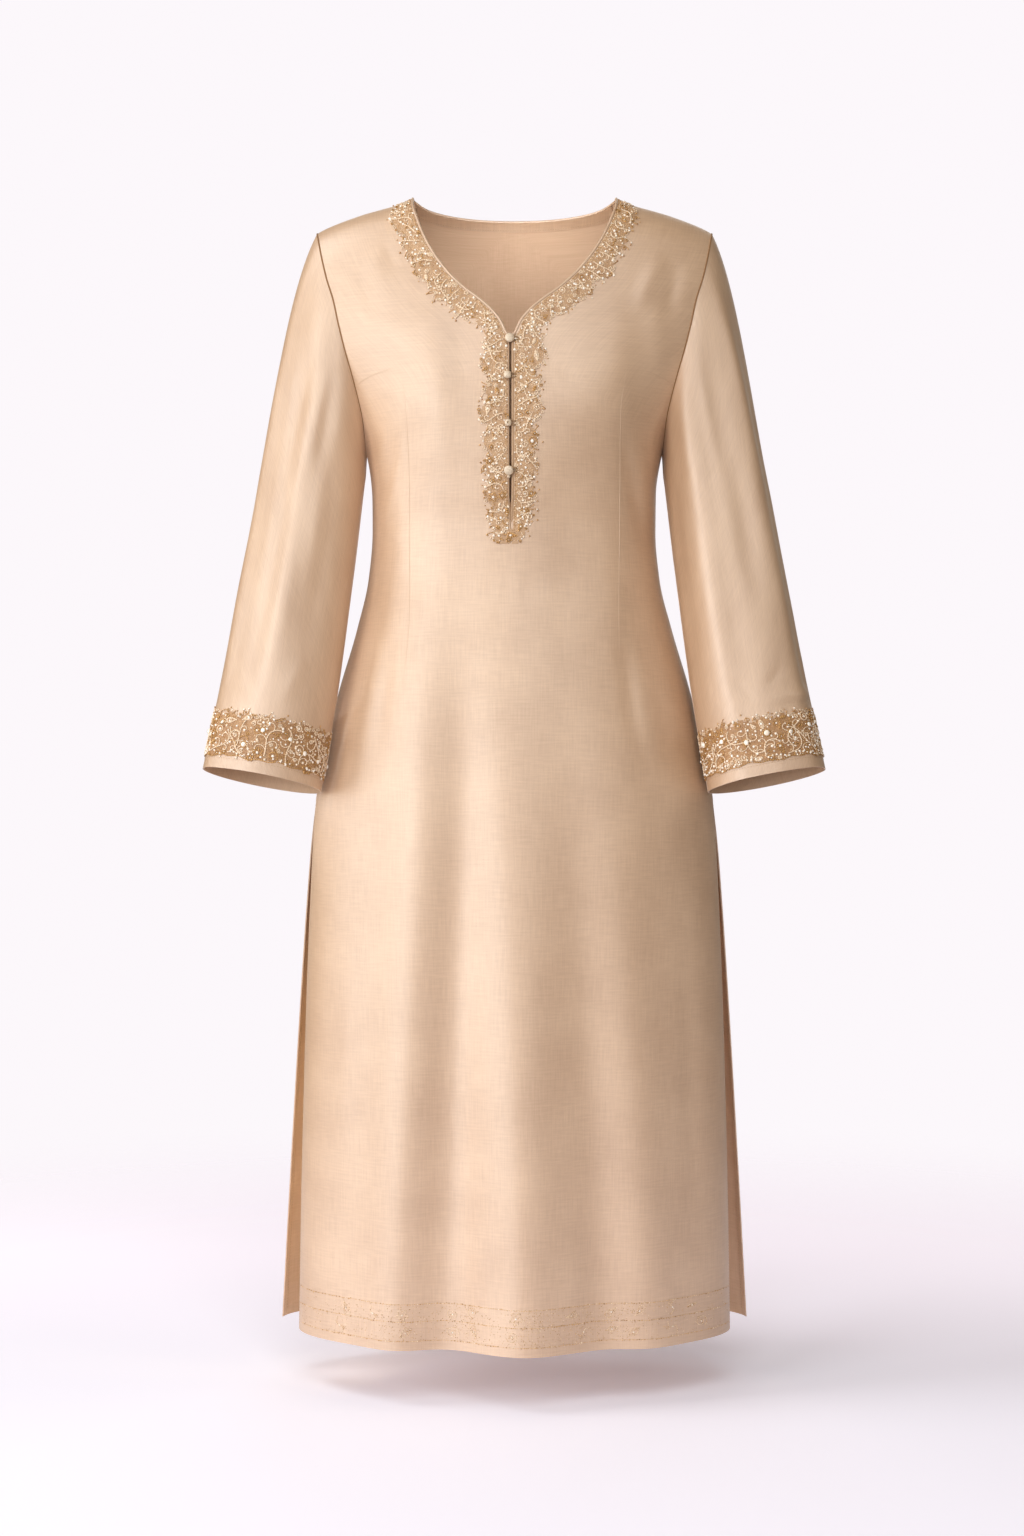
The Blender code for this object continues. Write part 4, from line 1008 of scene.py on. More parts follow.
# %% Sleeve form
CAP_LEAVES_OUTWARD = 0.10
CAP_TOP_OUTWARD = 0.38
CAP_LEAVES_SIDEWAYS = 0.16
CAP_LEAVES_DOWN = 0.90
CAP_STRENGTH = 1.2
CAP_TOP_STRENGTH_LESS = 0.55
CAP_SHARE = 0.36
SLEEVE_FOLD_COLUMNS = ("angle", "angle_end", "start", "end", "breadth", "height")
SLEEVE_FOLDS = {
    "right": (
        (78, 84, 0.22, 0.66, 17, -0.0040),
        (52, 60, 0.26, 0.80, 16, 0.0030),
        (112, 106, 0.30, 0.72, 15, 0.0030),
        (262, 274, 0.24, 0.74, 18, -0.0035),
        (230, 238, 0.50, 0.92, 17, 0.0025),
        (40, 34, 0.62, 0.94, 15, -0.0025),
    ),
    "left": (
        (70, 74, 0.25, 0.70, 18, -0.0035),
        (46, 50, 0.24, 0.74, 16, 0.0030),
        (98, 100, 0.28, 0.78, 16, 0.0028),
        (268, 258, 0.26, 0.70, 18, -0.0035),
        (300, 292, 0.44, 0.90, 17, 0.0025),
        (24, 20, 0.66, 0.92, 14, -0.0030),
    ),
}


def arm_axes():
    """Directions across the arm, outward and forward, square to the arm line."""
    out_angle, forward_angle = math.radians(ARM_OUTWARD_DEGREES), math.radians(ARM_FORWARD_DEGREES)
    return (np.array([math.cos(out_angle), 0.0, math.sin(out_angle)]),
            np.array([0.0, -math.cos(forward_angle), math.sin(forward_angle)]))


def arm_ring(along, angle):
    """The tube: arm line + half width cos(angle) across + half depth sin(angle) forward."""
    across, forward = arm_axes()
    along, angle = along[..., None], angle[..., None]
    middle = ARM_TOP + (ARM_CUFF - ARM_TOP) * along
    middle = middle - read(SLEEVE, SLEEVE_COLUMNS, "inward", along) * across
    return (middle + read(SLEEVE, SLEEVE_COLUMNS, "half_width", along) * np.cos(angle) * across
            + read(SLEEVE, SLEEVE_COLUMNS, "half_depth", along) * np.sin(angle) * forward)


def sleeve_smooth(share, angle):
    """The sleeve without folds, on a grid of shares of the way down and angles round the arm."""
    seam, off = armhole(angle)
    seam = seam + SEAM_GAP * off
    top = (1 + np.cos(angle)) / 2
    leave = unit(np.stack([CAP_LEAVES_OUTWARD + CAP_TOP_OUTWARD * top, -CAP_LEAVES_SIDEWAYS * np.sin(angle),
                           0.0 * angle - CAP_LEAVES_DOWN], axis=-1))
    strength = (CAP_STRENGTH - CAP_TOP_STRENGTH_LESS * top)[:, None]
    ring = arm_ring(0 * angle, angle)
    arrive = unit(ARM_CUFF - ARM_TOP)
    reach = np.linalg.norm(ring - seam, axis=-1, keepdims=True)
    t = np.clip(share / CAP_SHARE, 0.0, 1.0)[:, None, None]
    cap = ((1 + 2 * t) * (1 - t) ** 2 * seam + t * (1 - t) ** 2 * strength * reach * leave
           + t * t * (3 - 2 * t) * ring + t * t * (t - 1) * reach * arrive)
    down = np.clip((share - CAP_SHARE) / (1 - CAP_SHARE), 0.0, 1.0)[:, None]
    tube = arm_ring(down + 0 * angle, angle + 0 * down)
    return np.where((share <= CAP_SHARE)[:, None, None], cap, tube)


def sleeve_lift(side, share, angle):
    """Sum over folds of height * sine squared down the arm * bell across the fold's angle."""
    lift = np.zeros(np.broadcast(share, angle).shape)
    for fold in entries(SLEEVE_FOLDS[side], SLEEVE_FOLD_COLUMNS):
        part = np.clip((share - fold["start"]) / (fold["end"] - fold["start"]), 0.0, 1.0)
        middle = np.radians(fold["angle"] + (fold["angle_end"] - fold["angle"]) * part)
        apart = np.angle(np.exp(1j * (angle - middle)))
        fade = np.sin(math.pi * part) ** 2
        lift = lift + fold["height"] * fade * np.exp(-(apart / math.radians(fold["breadth"])) ** 2)
    return lift


print("sleeve folds", {side: len(table) for side, table in SLEEVE_FOLDS.items()})

# %% [markdown]
# The larger folds above are also in the solids. The sharper creases belong to the silk only:
# long soft ones that fall from the cap, where the sleeve head is eased into a shorter
# armhole, a few at the elbow, and small puckers over the stiff embroidered cuff.

# %% Sleeve creases and grid
SLEEVE_CREASE_COLUMNS = ("share", "angle", "share_end", "angle_end", "breadth", "height")
SLEEVE_CREASES = {
    "right": (
        (0.03, 60, 0.42, 70, 0.0095, -0.0009),
        (0.02, 40, 0.42, 52, 0.0070, 0.0013),
        (0.05, 88, 0.40, 92, 0.0065, 0.0012),
        (0.26, 84, 0.80, 74, 0.0105, -0.0010),
        (0.40, 56, 0.78, 62, 0.0085, 0.0012),
        (0.78, 30, 0.86, 62, 0.0060, -0.0012),
        (0.74, 118, 0.86, 100, 0.0070, 0.0010),
        (0.10, 300, 0.45, 290, 0.0090, 0.0014),
        (0.16, 255, 0.52, 250, 0.0090, -0.0014),
        (0.55, 285, 0.86, 300, 0.0090, 0.0012),
        (0.45, 8, 0.80, 0, 0.0090, -0.0010),
        (0.00, 8, 0.45, 11, 0.0125, 0.0008),
        (0.00, 27, 0.47, 30, 0.0125, 0.0032),
        (0.20, 25, 0.86, 30, 0.0125, 0.0040),
        (0.52, 28, 1.20, 32, 0.0125, 0.0022),
        (0.00, 44, 0.44, 47, 0.0120, -0.0028),
        (0.18, 45, 0.83, 47, 0.0120, -0.0018),
        (0.00, 62, 0.45, 65, 0.0125, -0.0040),
        (0.00, 58, 0.24, 61, 0.0125, 0.0034),
        (0.00, 84, 0.22, 86, 0.0110, -0.0012),
        (0.20, 62, 0.86, 65, 0.0120, -0.0048),
        (0.50, 62, 1.20, 64, 0.0125, -0.0013),
        (0.18, 80, 0.85, 84, 0.0125, 0.0036),
        (0.00, 98, 0.45, 101, 0.0120, -0.0027),
        (0.18, 98, 0.85, 102, 0.0125, -0.0022),
        (0.00, 116, 0.42, 118, 0.0120, 0.0011),
        (0.18, 116, 0.84, 119, 0.0125, -0.0038),
    ),
    "left": (
        (0.02, 68, 0.42, 74, 0.0095, -0.0009),
        (0.03, 46, 0.40, 50, 0.0070, 0.0013),
        (0.06, 92, 0.45, 96, 0.0065, 0.0012),
        (0.30, 66, 0.78, 74, 0.0105, -0.0010),
        (0.50, 40, 0.80, 46, 0.0085, 0.0010),
        (0.79, 118, 0.85, 92, 0.0055, -0.0013),
        (0.872, 84, 0.858, 2, 0.0038, -0.0016),
        (0.857, 82, 0.842, 2, 0.0062, 0.0021),
        (0.790, 58, 0.834, 82, 0.0045, -0.0012),
        (0.10, 288, 0.42, 296, 0.0090, 0.0014),
        (0.20, 262, 0.55, 256, 0.0090, -0.0014),
        (0.58, 300, 0.84, 288, 0.0090, 0.0012),
        (0.50, 350, 0.78, 356, 0.0090, -0.0010),
        (0.00, 8, 0.45, 11, 0.0125, -0.0012),
        (0.00, 26, 0.45, 29, 0.0125, -0.0022),
        (0.18, 26, 0.85, 29, 0.0125, -0.0014),
        (0.50, 9, 1.20, 12, 0.0125, -0.0014),
        (0.00, 44, 0.45, 47, 0.0125, 0.0028),
        (0.18, 45, 0.85, 47, 0.0125, 0.0018),
        (0.50, 44, 1.20, 46, 0.0125, 0.0020),
        (0.18, 62, 0.84, 65, 0.0125, 0.0018),
        (0.00, 80, 0.46, 83, 0.0125, -0.0025),
        (0.18, 98, 0.85, 101, 0.0125, -0.0025),
        (0.00, 116, 0.44, 119, 0.0125, 0.0052),
        (0.18, 116, 0.85, 120, 0.0125, 0.0056),
        (0.50, 117, 1.20, 119, 0.0125, 0.0030),
        (0.18, 134, 0.86, 137, 0.0125, 0.0012),
        (0.18, 152, 0.85, 155, 0.0125, -0.0018),
        (0.50, 152, 1.20, 154, 0.0125, -0.0012),
    ),
}
SLEEVE_LENGTH = 0.50
SLEEVE_ROUND = 0.054
SLEEVE_ROWS = 120
SLEEVE_AROUND = 128


def sleeve_relief(side, share, angle):
    """The folds and, on top, the creases, whose flat map is (length down, length round)."""
    total = sleeve_lift(side, share, angle)
    for crease in entries(SLEEVE_CREASES[side], SLEEVE_CREASE_COLUMNS):
        turned = np.angle(np.exp(1j * (angle - math.radians(crease["angle"]))))
        total = total + ridge((share - crease["share"]) * SLEEVE_LENGTH, turned * SLEEVE_ROUND,
                              (crease["share_end"] - crease["share"]) * SLEEVE_LENGTH,
                              math.radians(crease["angle_end"] - crease["angle"]) * SLEEVE_ROUND,
                              crease["breadth"], crease["height"])
    return total


def grid_normals(points):
    """Unit directions square to a tube's grid, whose last column repeats the first."""
    ring = points[:, :-1]
    around = np.roll(ring, -1, axis=1) - np.roll(ring, 1, axis=1)
    out = unit(np.cross(around, np.gradient(ring, axis=0)))
    return np.concatenate([out, out[:, :1]], axis=1)


def sleeve_cloth(side, share, angle):
    """Points of the left sleeve with folds and creases, and its outward directions."""
    points = sleeve_smooth(share, angle)
    points = points + sleeve_relief(side, share[:, None], angle[None, :])[..., None] * grid_normals(points)
    return points, grid_normals(points)


def mirror(points, side):
    """The wearer's right side is the left one turned over."""
    return points * np.array([1.0 if side == "left" else -1.0, 1.0, 1.0])


def dress_sleeve(side):
    """A sleeve as a thin closed tube of cloth, open at the armhole and at the cuff."""
    share = np.linspace(0.0, 1.0, SLEEVE_ROWS)
    angle = np.linspace(0.0, 2 * math.pi, SLEEVE_AROUND + 1)
    points, out = sleeve_cloth(side, share, angle)
    around = np.cumsum(np.linalg.norm(np.diff(points, axis=1, prepend=points[:, :1]), axis=2), axis=1)
    down = np.cumsum(np.linalg.norm(np.diff(points, axis=0, prepend=points[:1]), axis=2), axis=0)
    uv = np.stack([around, -down], axis=-1)
    wall = CLOTH + TURNED * ((1 - share)[:, None] * SLEEVE_LENGTH < TURNING) + 0 * angle
    grid = (mirror(points, side), mirror(out, side), uv, side == "right", True)
    piece = shell("sleeve_cloth_" + side, [grid], wall, [silk, silk_wrong_side])
    return attach(piece, "sleeve_" + side)


sleeves = {side: dress_sleeve(side) for side in ("left", "right")}

# %% [markdown]
# ## Threads, beads and their finishes
# The neck and the cuffs carry hand work: ivory and gold cord laid on the cloth and caught
# down, seed beads a millimetre across, and pearls. Modelling each bead as a small ball keeps
# their sparkle right from every side, and a seed bead needs only twenty triangles for that.
# Every bead gets its own place in the texture, which picks its tint between gold and ivory.

# %% Thread and bead finishes
def twisted_finish(name, dark, light, roughness, metallic, pitch=0.0011):
    """Cord: slanting waves along its length and round it show the twist of its strands."""
    finish = new_finish(name, Roughness=roughness, Metallic=metallic, Specular_IOR_Level=0.6)
    threads = add_node(finish, "UVMap", uv_map="threads")
    slant = add_node(finish, "Mapping", {"Vector": threads, "Scale": (1.0 / pitch, 1.0, 1.0)})
    twist = add_node(finish, "TexWave", {"Vector": slant, "Scale": ONE_WAVE}, "Fac",
                     bands_direction="DIAGONAL")
    bump = add_node(finish, "Bump", {"Height": twist, "Strength": 0.5, "Distance": 0.0002})
    feed(finish, Base_Color=ramp(finish, twist, (dark, light)), Normal=bump)
    return finish


def tinted_finish(name, tints, roughness, metallic, coat):
    """Beads: a ramp of tints read at each bead's own place in the texture."""
    finish = new_finish(name, Roughness=roughness, Metallic=metallic, Coat_Weight=coat,
                        Coat_Roughness=0.08, Specular_IOR_Level=0.7)
    each = add_node(finish, "SeparateXYZ", {"Vector": add_node(finish, "UVMap", uv_map="threads")})
    feed(finish, Base_Color=ramp(finish, each, tints))
    return finish


def ground_finish(name, dark, light):
    """The stitched ground under the work: coarser and duller than the silk round it."""
    return silk_finish(name, dark, light, 0.6, weave_pitch=0.0009, relief=1.0, gloss=0.5)


GOLD_TINTS = ((0.34, 0.155, 0.048, 1.0), (0.50, 0.275, 0.102, 1.0), (0.655, 0.400, 0.180, 1.0),
              (0.795, 0.580, 0.350, 1.0), (0.93, 0.790, 0.620, 1.0))
PEARL_TINTS = ((0.90, 0.76, 0.60, 1.0), (0.95, 0.86, 0.75, 1.0), (0.98, 0.94, 0.88, 1.0))
ivory_cord = twisted_finish("ivory_cord", (0.68, 0.485, 0.310, 1.0), (0.92, 0.760, 0.580, 1.0), 0.42, 0.05)
gold_cord = twisted_finish("gold_cord", (0.36, 0.170, 0.045, 1.0), (0.66, 0.400, 0.160, 1.0), 0.38, 0.35)
seed_beads = tinted_finish("seed_beads", GOLD_TINTS, 0.32, 0.15, 0.5)
pearls = tinted_finish("pearls", PEARL_TINTS, 0.22, 0.0, 0.8)
stitched_ground = ground_finish("stitched_ground", (0.405, 0.230, 0.115, 1.0), (0.56, 0.345, 0.185, 1.0))
# The cuffs' ground is a golden brown of its own, darkened further as painted shade in the gaps between the
# beads.
cuff_ground_and_painted_shade = ground_finish("cuff_ground_and_painted_shade", (0.32, 0.150, 0.050, 1.0), (0.47, 0.245, 0.090, 1.0))
WORK_FINISHES = (stitched_ground, ivory_cord, gold_cord, seed_beads, pearls)
CUFF_FINISHES = (cuff_ground_and_painted_shade,) + WORK_FINISHES[1:]
GROUND, IVORY, GOLD, SEED, PEARL = range(5)
print("finishes of the hand work", [finish.name for finish in WORK_FINISHES])

# %% [markdown]
# ## Motifs
# The work is made of the small shapes that embroiderers share everywhere: scrolls, leaves,
# teardrops, flowers and curling stems. Each is a flat line first, worked out from a formula,
# one unit in radius. Later it is scaled, turned, laid on the cloth and made into a cord.

# %% Motif lines
STEM_STEPS, CURL_STEPS = 30, 16


def scroll(turns):
    """A spiral: the radius grows from 0.15 to 1 while the angle makes the given turns."""
    t = np.linspace(0.0, 1.0, 60)
    radius, angle = 0.15 + 0.85 * t, 2 * math.pi * turns * t
    return np.column_stack([radius * np.cos(angle), radius * np.sin(angle)])


def teardrop(size=1.0, bend=0.4):
    """x = 0.75 sin a sin^2(a/2), y = -cos a, with the tip pushed sideways by the square of its reach."""
    a = np.linspace(0.0, 2 * math.pi, 60)
    y = -np.cos(a)
    x = 0.75 * np.sin(a) * np.sin(a / 2) ** 2 + bend * ((1 - y) / 2) ** 2 - bend / 3
    return size * np.column_stack([x, y])


def leaf(width=0.36):
    """Two sine arches back to back, meeting in a point at both ends."""
    t = np.linspace(0.0, 1.0, 30)
    side = np.column_stack([width * np.sin(math.pi * t), 2 * t - 1])
    return np.vstack([side, (side * (-1, 1))[::-1][1:]])


def flower(petals=5):
    """Radius 0.4 + 0.6 |cos(petals a / 2)| all round."""
    a = np.linspace(0.0, 2 * math.pi, 18 * petals + 1)
    radius = 0.4 + 0.6 * np.abs(np.cos(petals * a / 2))
    return np.column_stack([radius * np.cos(a), radius * np.sin(a)])


def wave(length=2.4, height=0.35):
    """A short stem: one and a quarter sine waves."""
    t = np.linspace(-0.5, 0.5, 40)
    return np.column_stack([height * np.sin(2.5 * math.pi * t), length * t])


def walk(heading, size):
    """A line of a given length that adds up small steps (sin h, cos h), one for each heading h."""
    return np.cumsum(np.column_stack([np.sin(heading), np.cos(heading)]) * size / len(heading), axis=0)


def branch(chance, curls=5):
    """A stem one unit long that bends slowly, and curls that leave it on both sides and roll in."""
    t = np.linspace(0.0, 1.0, STEM_STEPS)
    bend = chance.uniform(0.7, 1.7) * chance.choice([-1.0, 1.0])
    heading = bend * (t - 0.4) + 0.5 * np.sin(5.0 * t + chance.uniform(0, 6))
    stem = walk(heading, 1.0)
    lines, hand = [stem], chance.choice([-1.0, 1.0])
    t = np.linspace(0.0, 1.0, CURL_STEPS)
    for number in range(curls):
        at = int(STEM_STEPS * (0.10 + 0.80 * number / curls) + chance.integers(0, 3))
        size = 0.46 * chance.uniform(0.7, 1.15) * (1 - 0.4 * number / curls)
        roll = heading[at] + hand * (0.55 + chance.uniform(2.4, 4.6) * t ** 1.5)
        lines.append(stem[at] + walk(roll, size))
        hand = -hand
    return lines


# Each motif is its lines and the place of its pearl.
MOTIFS = (
    ((teardrop(), teardrop(0.55)), (0.0, 0.35)),
    ((scroll(1.6),), (0.0, 0.0)),
    ((leaf(), leaf(0.12)), (0.0, 0.1)),
    ((flower(5),), (0.0, 0.0)),
    ((teardrop(1.0, -0.5), scroll(1.1) * 0.4 + (0.0, 0.35)), (0.0, 0.5)),
    ((scroll(-1.3), leaf(0.3) * 0.6 + (0.9, 0.5)), (0.1, 0.0)),
    ((wave(), scroll(1.2) * 0.35 + (0.5, 0.6), scroll(-1.2) * 0.35 + (-0.5, -0.6)), (0.0, 0.0)),
    ((leaf(0.45), wave(1.4, 0.1)), (0.0, -0.5)),
    ((flower(6), scroll(0.9) * 0.3), (0.0, 0.0)),
)


def scatter(candidates, radius, taken, reaches, squeeze=0.9):
    """Keeps, in order, each candidate whose circle stays clear of all the circles kept before."""
    kept, radii = [tuple(p) for p in taken], list(reaches)
    first = len(kept)
    for candidate in candidates:
        if kept:
            gap = np.hypot(*(np.array(kept) - candidate).T) - squeeze * (np.array(radii) + radius)
            if gap.min() < 0.0:
                continue
        kept.append(tuple(candidate))
        radii.append(radius)
    return np.array(kept[first:]).reshape(-1, 2), kept, radii


print("motifs", len(MOTIFS))

# %% [markdown]
# ## Laying the work on the cloth
# One function embroiders any patch. It is told which flat places are inside the patch and how
# a flat place maps to the cloth, so the neck and the round cuffs can share it. Curling stems
# go down first, then motifs in the gaps from large to small, then pearls, and at last seed
# beads everywhere that no cord has taken. Circles that may not overlap keep the spacing
# natural. A fringe of rings, stalks and lone beads breaks up the outer edge.

# %% Embroidery of a patch
CORD_RADIUS = 0.00050
CORD_STEP = 0.0011
CORD_LIFT = 0.0008
SEED_RADIUS = 0.00052
SEED_PITCH = 0.00178
ROW_APART = 0.866  # of the pitch: the height of a triangle with even sides
SEED_CLEARANCE = 0.0010
STEM_OVERHANG = 0.0045
MOTIF_SIZES = ((0.0052, 500), (0.0034, 900), (0.0022, 500))  # (radius, tries)
PEARL_TRIES, PEARL_ROOM = 1200, 0.0021
FINE_PEARL = 0.0011
FRINGE_STEP = 0.0027
GROUND_LIFT, GROUND_THICKNESS = 0.00045, 0.00035


def laid_cord(line, place, radius, kind, lift=CORD_LIFT):
    """A flat line as a cord on the cloth."""
    flat = resample(line, CORD_STEP)
    points, out = place(flat[:, 0], flat[:, 1], lift)
    return cord(points, out, radius, sides=5, kind=kind)


def bead_row(flat, place, lift, radius, spread, chance, kind, squash=0.85, tint=None):
    """Beads at flat places on the cloth. Each radius is shaken between the two factors of spread."""
    points, out = place(flat[:, 0], flat[:, 1], lift)
    return beads(points, out, radius * chance.uniform(*spread, len(flat)), squash, chance, kind, tint=tint)


def round_line(count, start=0.0):
    """Points once round a circle of radius 1, the last over the first."""
    a = np.linspace(start, 2 * math.pi + start, count)
    return np.column_stack([np.cos(a), np.sin(a)])


def spin_by(turn, size):
    """The matrix that turns a flat shape and scales it."""
    return size * np.array([[math.cos(turn), -math.sin(turn)], [math.sin(turn), math.cos(turn)]])


def lay_stems(stems, inside, place, chance):
    """Branching stems, each cut off where it would leave the patch by far: cords, lines and ends."""
    parts, lines, ends = [], [], []
    for root, way, length in stems:
        across = np.array([way[1], -way[0]])
        for number, line in enumerate(branch(chance)):
            flat = np.asarray(root) + length * (line[:, :1] * across + line[:, 1:] * way)
            good = inside(flat[:, 0], flat[:, 1], -STEM_OVERHANG)
            flat = flat[:len(good) if good.all() else int(np.argmin(good))]
            if len(flat) > 4:
                kind = IVORY if number == 0 or chance.uniform() < 0.7 else GOLD
                radius = CORD_RADIUS * (1.15 if number == 0 else 0.95)
                parts.append(laid_cord(flat, place, radius, kind, CORD_LIFT + 0.0003 * chance.uniform(0, 1)))
                lines.append(resample(flat, CORD_STEP))
                ends.append(flat[-1])
    return parts, lines, ends


def lay_pearls(spots, sizes, place, chance):
    """Pearls; only those over 1.1 mm in radius get the finer ball."""
    spots, sizes, parts = np.asarray(spots), np.asarray(sizes), []
    for fine in (False, True):
        chosen = (sizes > FINE_PEARL) == fine
        if chosen.any():
            points, out = place(spots[chosen, 0], spots[chosen, 1], 0.0006)
            parts.append(beads(points, out, sizes[chosen], 0.85, chance, PEARL, fine=fine))
    return parts


def fill(inside, low, high, place, chance, stems=(), tone=0.0):
    """Stems, motifs, pearls and seed beads over a patch. Tone moves the seeds to ivory or to gold."""
    low, high = np.array(low), np.array(high)
    parts, lines, pearls_at = lay_stems(stems, inside, place, chance)
    pearl_sizes = list(chance.uniform(0.0008, 0.0014, len(pearls_at)))
    kept = [tuple(p) for line in lines for p in line[::5]]
    radii = [0.0012] * len(kept)
    for radius, tries in MOTIF_SIZES:
        candidates = low + (high - low) * chance.uniform(size=(tries, 2))
        candidates = candidates[inside(candidates[:, 0], candidates[:, 1], 0.8 * radius)]
        fresh, kept, radii = scatter(candidates, radius, kept, radii)
        for centre in fresh:
            pick = chance.integers(len(MOTIFS)) if radius > 0.003 else chance.choice([1, 3, 5])
            size = radius * chance.uniform(0.86, 1.08)
            spin = spin_by(chance.uniform(0.0, 2 * math.pi), size)
            kind = IVORY if chance.uniform() < 0.55 else GOLD
            motif, heart = MOTIFS[pick]
            for line in motif:
                flat = centre + line @ spin.T
                lines.append(resample(flat, CORD_STEP))
                parts.append(laid_cord(flat, place, CORD_RADIUS * chance.uniform(0.9, 1.2), kind))
            pearls_at.append(centre + spin @ heart)
            pearl_sizes.append(min(0.0017, 0.30 * size) * chance.uniform(0.75, 1.1))
    candidates = low + (high - low) * chance.uniform(size=(PEARL_TRIES, 2))
    candidates = candidates[inside(candidates[:, 0], candidates[:, 1], 0.001)]
    fresh, kept, radii = scatter(candidates, PEARL_ROOM, kept, radii, 0.75)
    pearls_at.extend(fresh)
    pearl_sizes.extend(0.0011 * chance.uniform(0.7, 1.25, len(fresh)))
    parts += lay_pearls(pearls_at, pearl_sizes, place, chance)
    parts.append(seeds(inside, low, high, place, np.vstack(lines + [np.array(pearls_at)]), chance, tone))
    return parts


def nearest(spots, others, together=1000):
    """The number of the nearest other place to each spot, and its distance, some spots at a time."""
    near, gap = np.zeros(len(spots), dtype=int), np.zeros(len(spots))
    for start in range(0, len(spots), together):
        now = slice(start, start + together)
        apart = np.linalg.norm(spots[now, None] - others[None], axis=2)
        near[now], gap[now] = apart.argmin(axis=1), apart.min(axis=1)
    return near, gap


def seeds(inside, low, high, place, taken, chance, tone):
    """Seed beads on a shaken honeycomb, left out where a cord or pearl is less than 1 mm away.

    Their tint is half chance and half a cloud, 0.5 + 0.5 sin(x / 1.9 mm + 2 sin(y / 3.1 mm)), so
    that gold and ivory lie in patches.
    """
    rows, columns = (int(n) for n in (high - low)[::-1] / (SEED_PITCH * np.array([ROW_APART, 1.0])))
    row, column = np.mgrid[0:rows, 0:columns].reshape(2, -1)
    spots = SEED_PITCH * np.column_stack([column + 0.5 * (row % 2), ROW_APART * row])
    spots = low + spots + SEED_PITCH * 0.22 * chance.normal(size=spots.shape)
    spots = spots[inside(spots[:, 0], spots[:, 1], 0.0006 + 0.0016 * chance.uniform(size=len(spots)))]
    cells = np.unique(np.round(taken / 0.0004).astype(int), axis=0) * 0.0004
    free = nearest(spots, cells)[1] > SEED_CLEARANCE
    spots = spots[free & (chance.uniform(size=len(spots)) < 0.90)]
    cloud = 0.5 + 0.5 * np.sin(spots[:, 0] / 0.0019 + 2 * np.sin(spots[:, 1] / 0.0031))
    tint = np.clip(0.45 * cloud + 0.65 * chance.uniform(size=len(spots)) + tone, 0.0, 1.0)
    return bead_row(spots, place, 0.0005, SEED_RADIUS, (0.75, 1.25), chance, SEED, tint=tint)


def ground_patch(inside, low, high, place, cell):
    """A thin closed sheet under the work: the cells of a flat grid that are inside the patch."""
    columns, rows = (np.ceil((high - low) / cell).astype(int) + 1).tolist()
    row, column = np.mgrid[0:rows - 1, 0:columns - 1]
    keep = inside(low[0] + (column + 0.5) * cell, low[1] + (row + 0.5) * cell, 0.0008)
    first = (row * columns + column)[keep]
    used, quads = np.unique(np.column_stack([first, first + 1, first + 1 + columns, first + columns]),
                            return_inverse=True)
    quads = quads.reshape(-1, 4)
    flat = low + cell * np.column_stack([used % columns, used // columns])
    top, out = place(flat[:, 0], flat[:, 1], GROUND_LIFT)
    a, b, d = (top[quads[:, k]] for k in (0, 1, 3))
    if np.sum(np.cross(b - a, d - a) * out[quads[:, 0]]) < 0.0:
        quads = quads[:, ::-1]
    every = np.vstack([quads, quads[:, ::-1] + len(top), rim(quads, len(top))[0]])
    triangles = np.vstack([every[:, :3], every[:, [0, 2, 3]]])
    points = np.vstack([top, top - GROUND_THICKNESS * out])
    return points, triangles, np.tile(flat, (2, 1))[triangles], np.full(len(triangles), GROUND)


def fringe(line, place, chance, outward_way):
    """Uneven steps along an edge: small rings, bent stalks with a bead at the end, and lone beads."""
    even = resample(line, FRINGE_STEP)
    ways = unit(np.gradient(even, axis=0))[:, ::-1] * np.array([1.0, -1.0]) * outward_way
    round_ring = round_line(9, -0.5)
    t = np.linspace(0.0, 1.0, 8)[:, None]
    parts, gold_at, pearls_at = [], [], []
    for spot, way in zip(even, ways):
        luck, across = chance.uniform(), np.array([way[1], -way[0]])
        if luck < 0.42:
            reach = chance.uniform(0.0008, 0.0015)
            ring = spot + way * reach * chance.uniform(0.2, 1.2) + reach * round_ring
            parts.append(laid_cord(ring, place, 0.00042, IVORY if chance.uniform() < 0.6 else GOLD))
        elif luck < 0.80:
            reach, bend = chance.uniform(0.0022, 0.0062), chance.uniform(-0.8, 0.8)
            stalk = spot + reach * (t * way + bend * t ** 2 * across) - 0.0010 * way
            parts.append(laid_cord(stalk, place, 0.00034, GOLD if chance.uniform() < 0.6 else IVORY, 0.0004))
            (gold_at if chance.uniform() < 0.65 else pearls_at).append(stalk[-1])
        elif luck < 0.90:
            gold_at.append(spot + way * chance.uniform(0.003, 0.0062))
        else:
            pearls_at.append(spot)
    for spots, size, kind, lightest in ((gold_at, 0.00088, SEED, 0.55), (pearls_at, 0.00100, PEARL, 1.0)):
        tint = chance.uniform(0.0, lightest, len(spots))
        parts.append(bead_row(np.array(spots), place, 0.0005, size, (0.8, 1.25), chance, kind, tint=tint))
    return parts


print("seed beads on a square centimetre", round(1e-4 / (ROW_APART * SEED_PITCH ** 2)))

# %% [markdown]
# ## The neck bands
# A band follows each side of the neckline and then of the slit below it. Its outer edge is
# scalloped: each lobe has a place along the neckline, a half length and a reach. A place is
# inside the band where its distance to the neckline is less than the reach there. Measuring
# that distance to the nearest point keeps the corner at the notch clean, where rows that are
# simply moved outwards would run over each other.

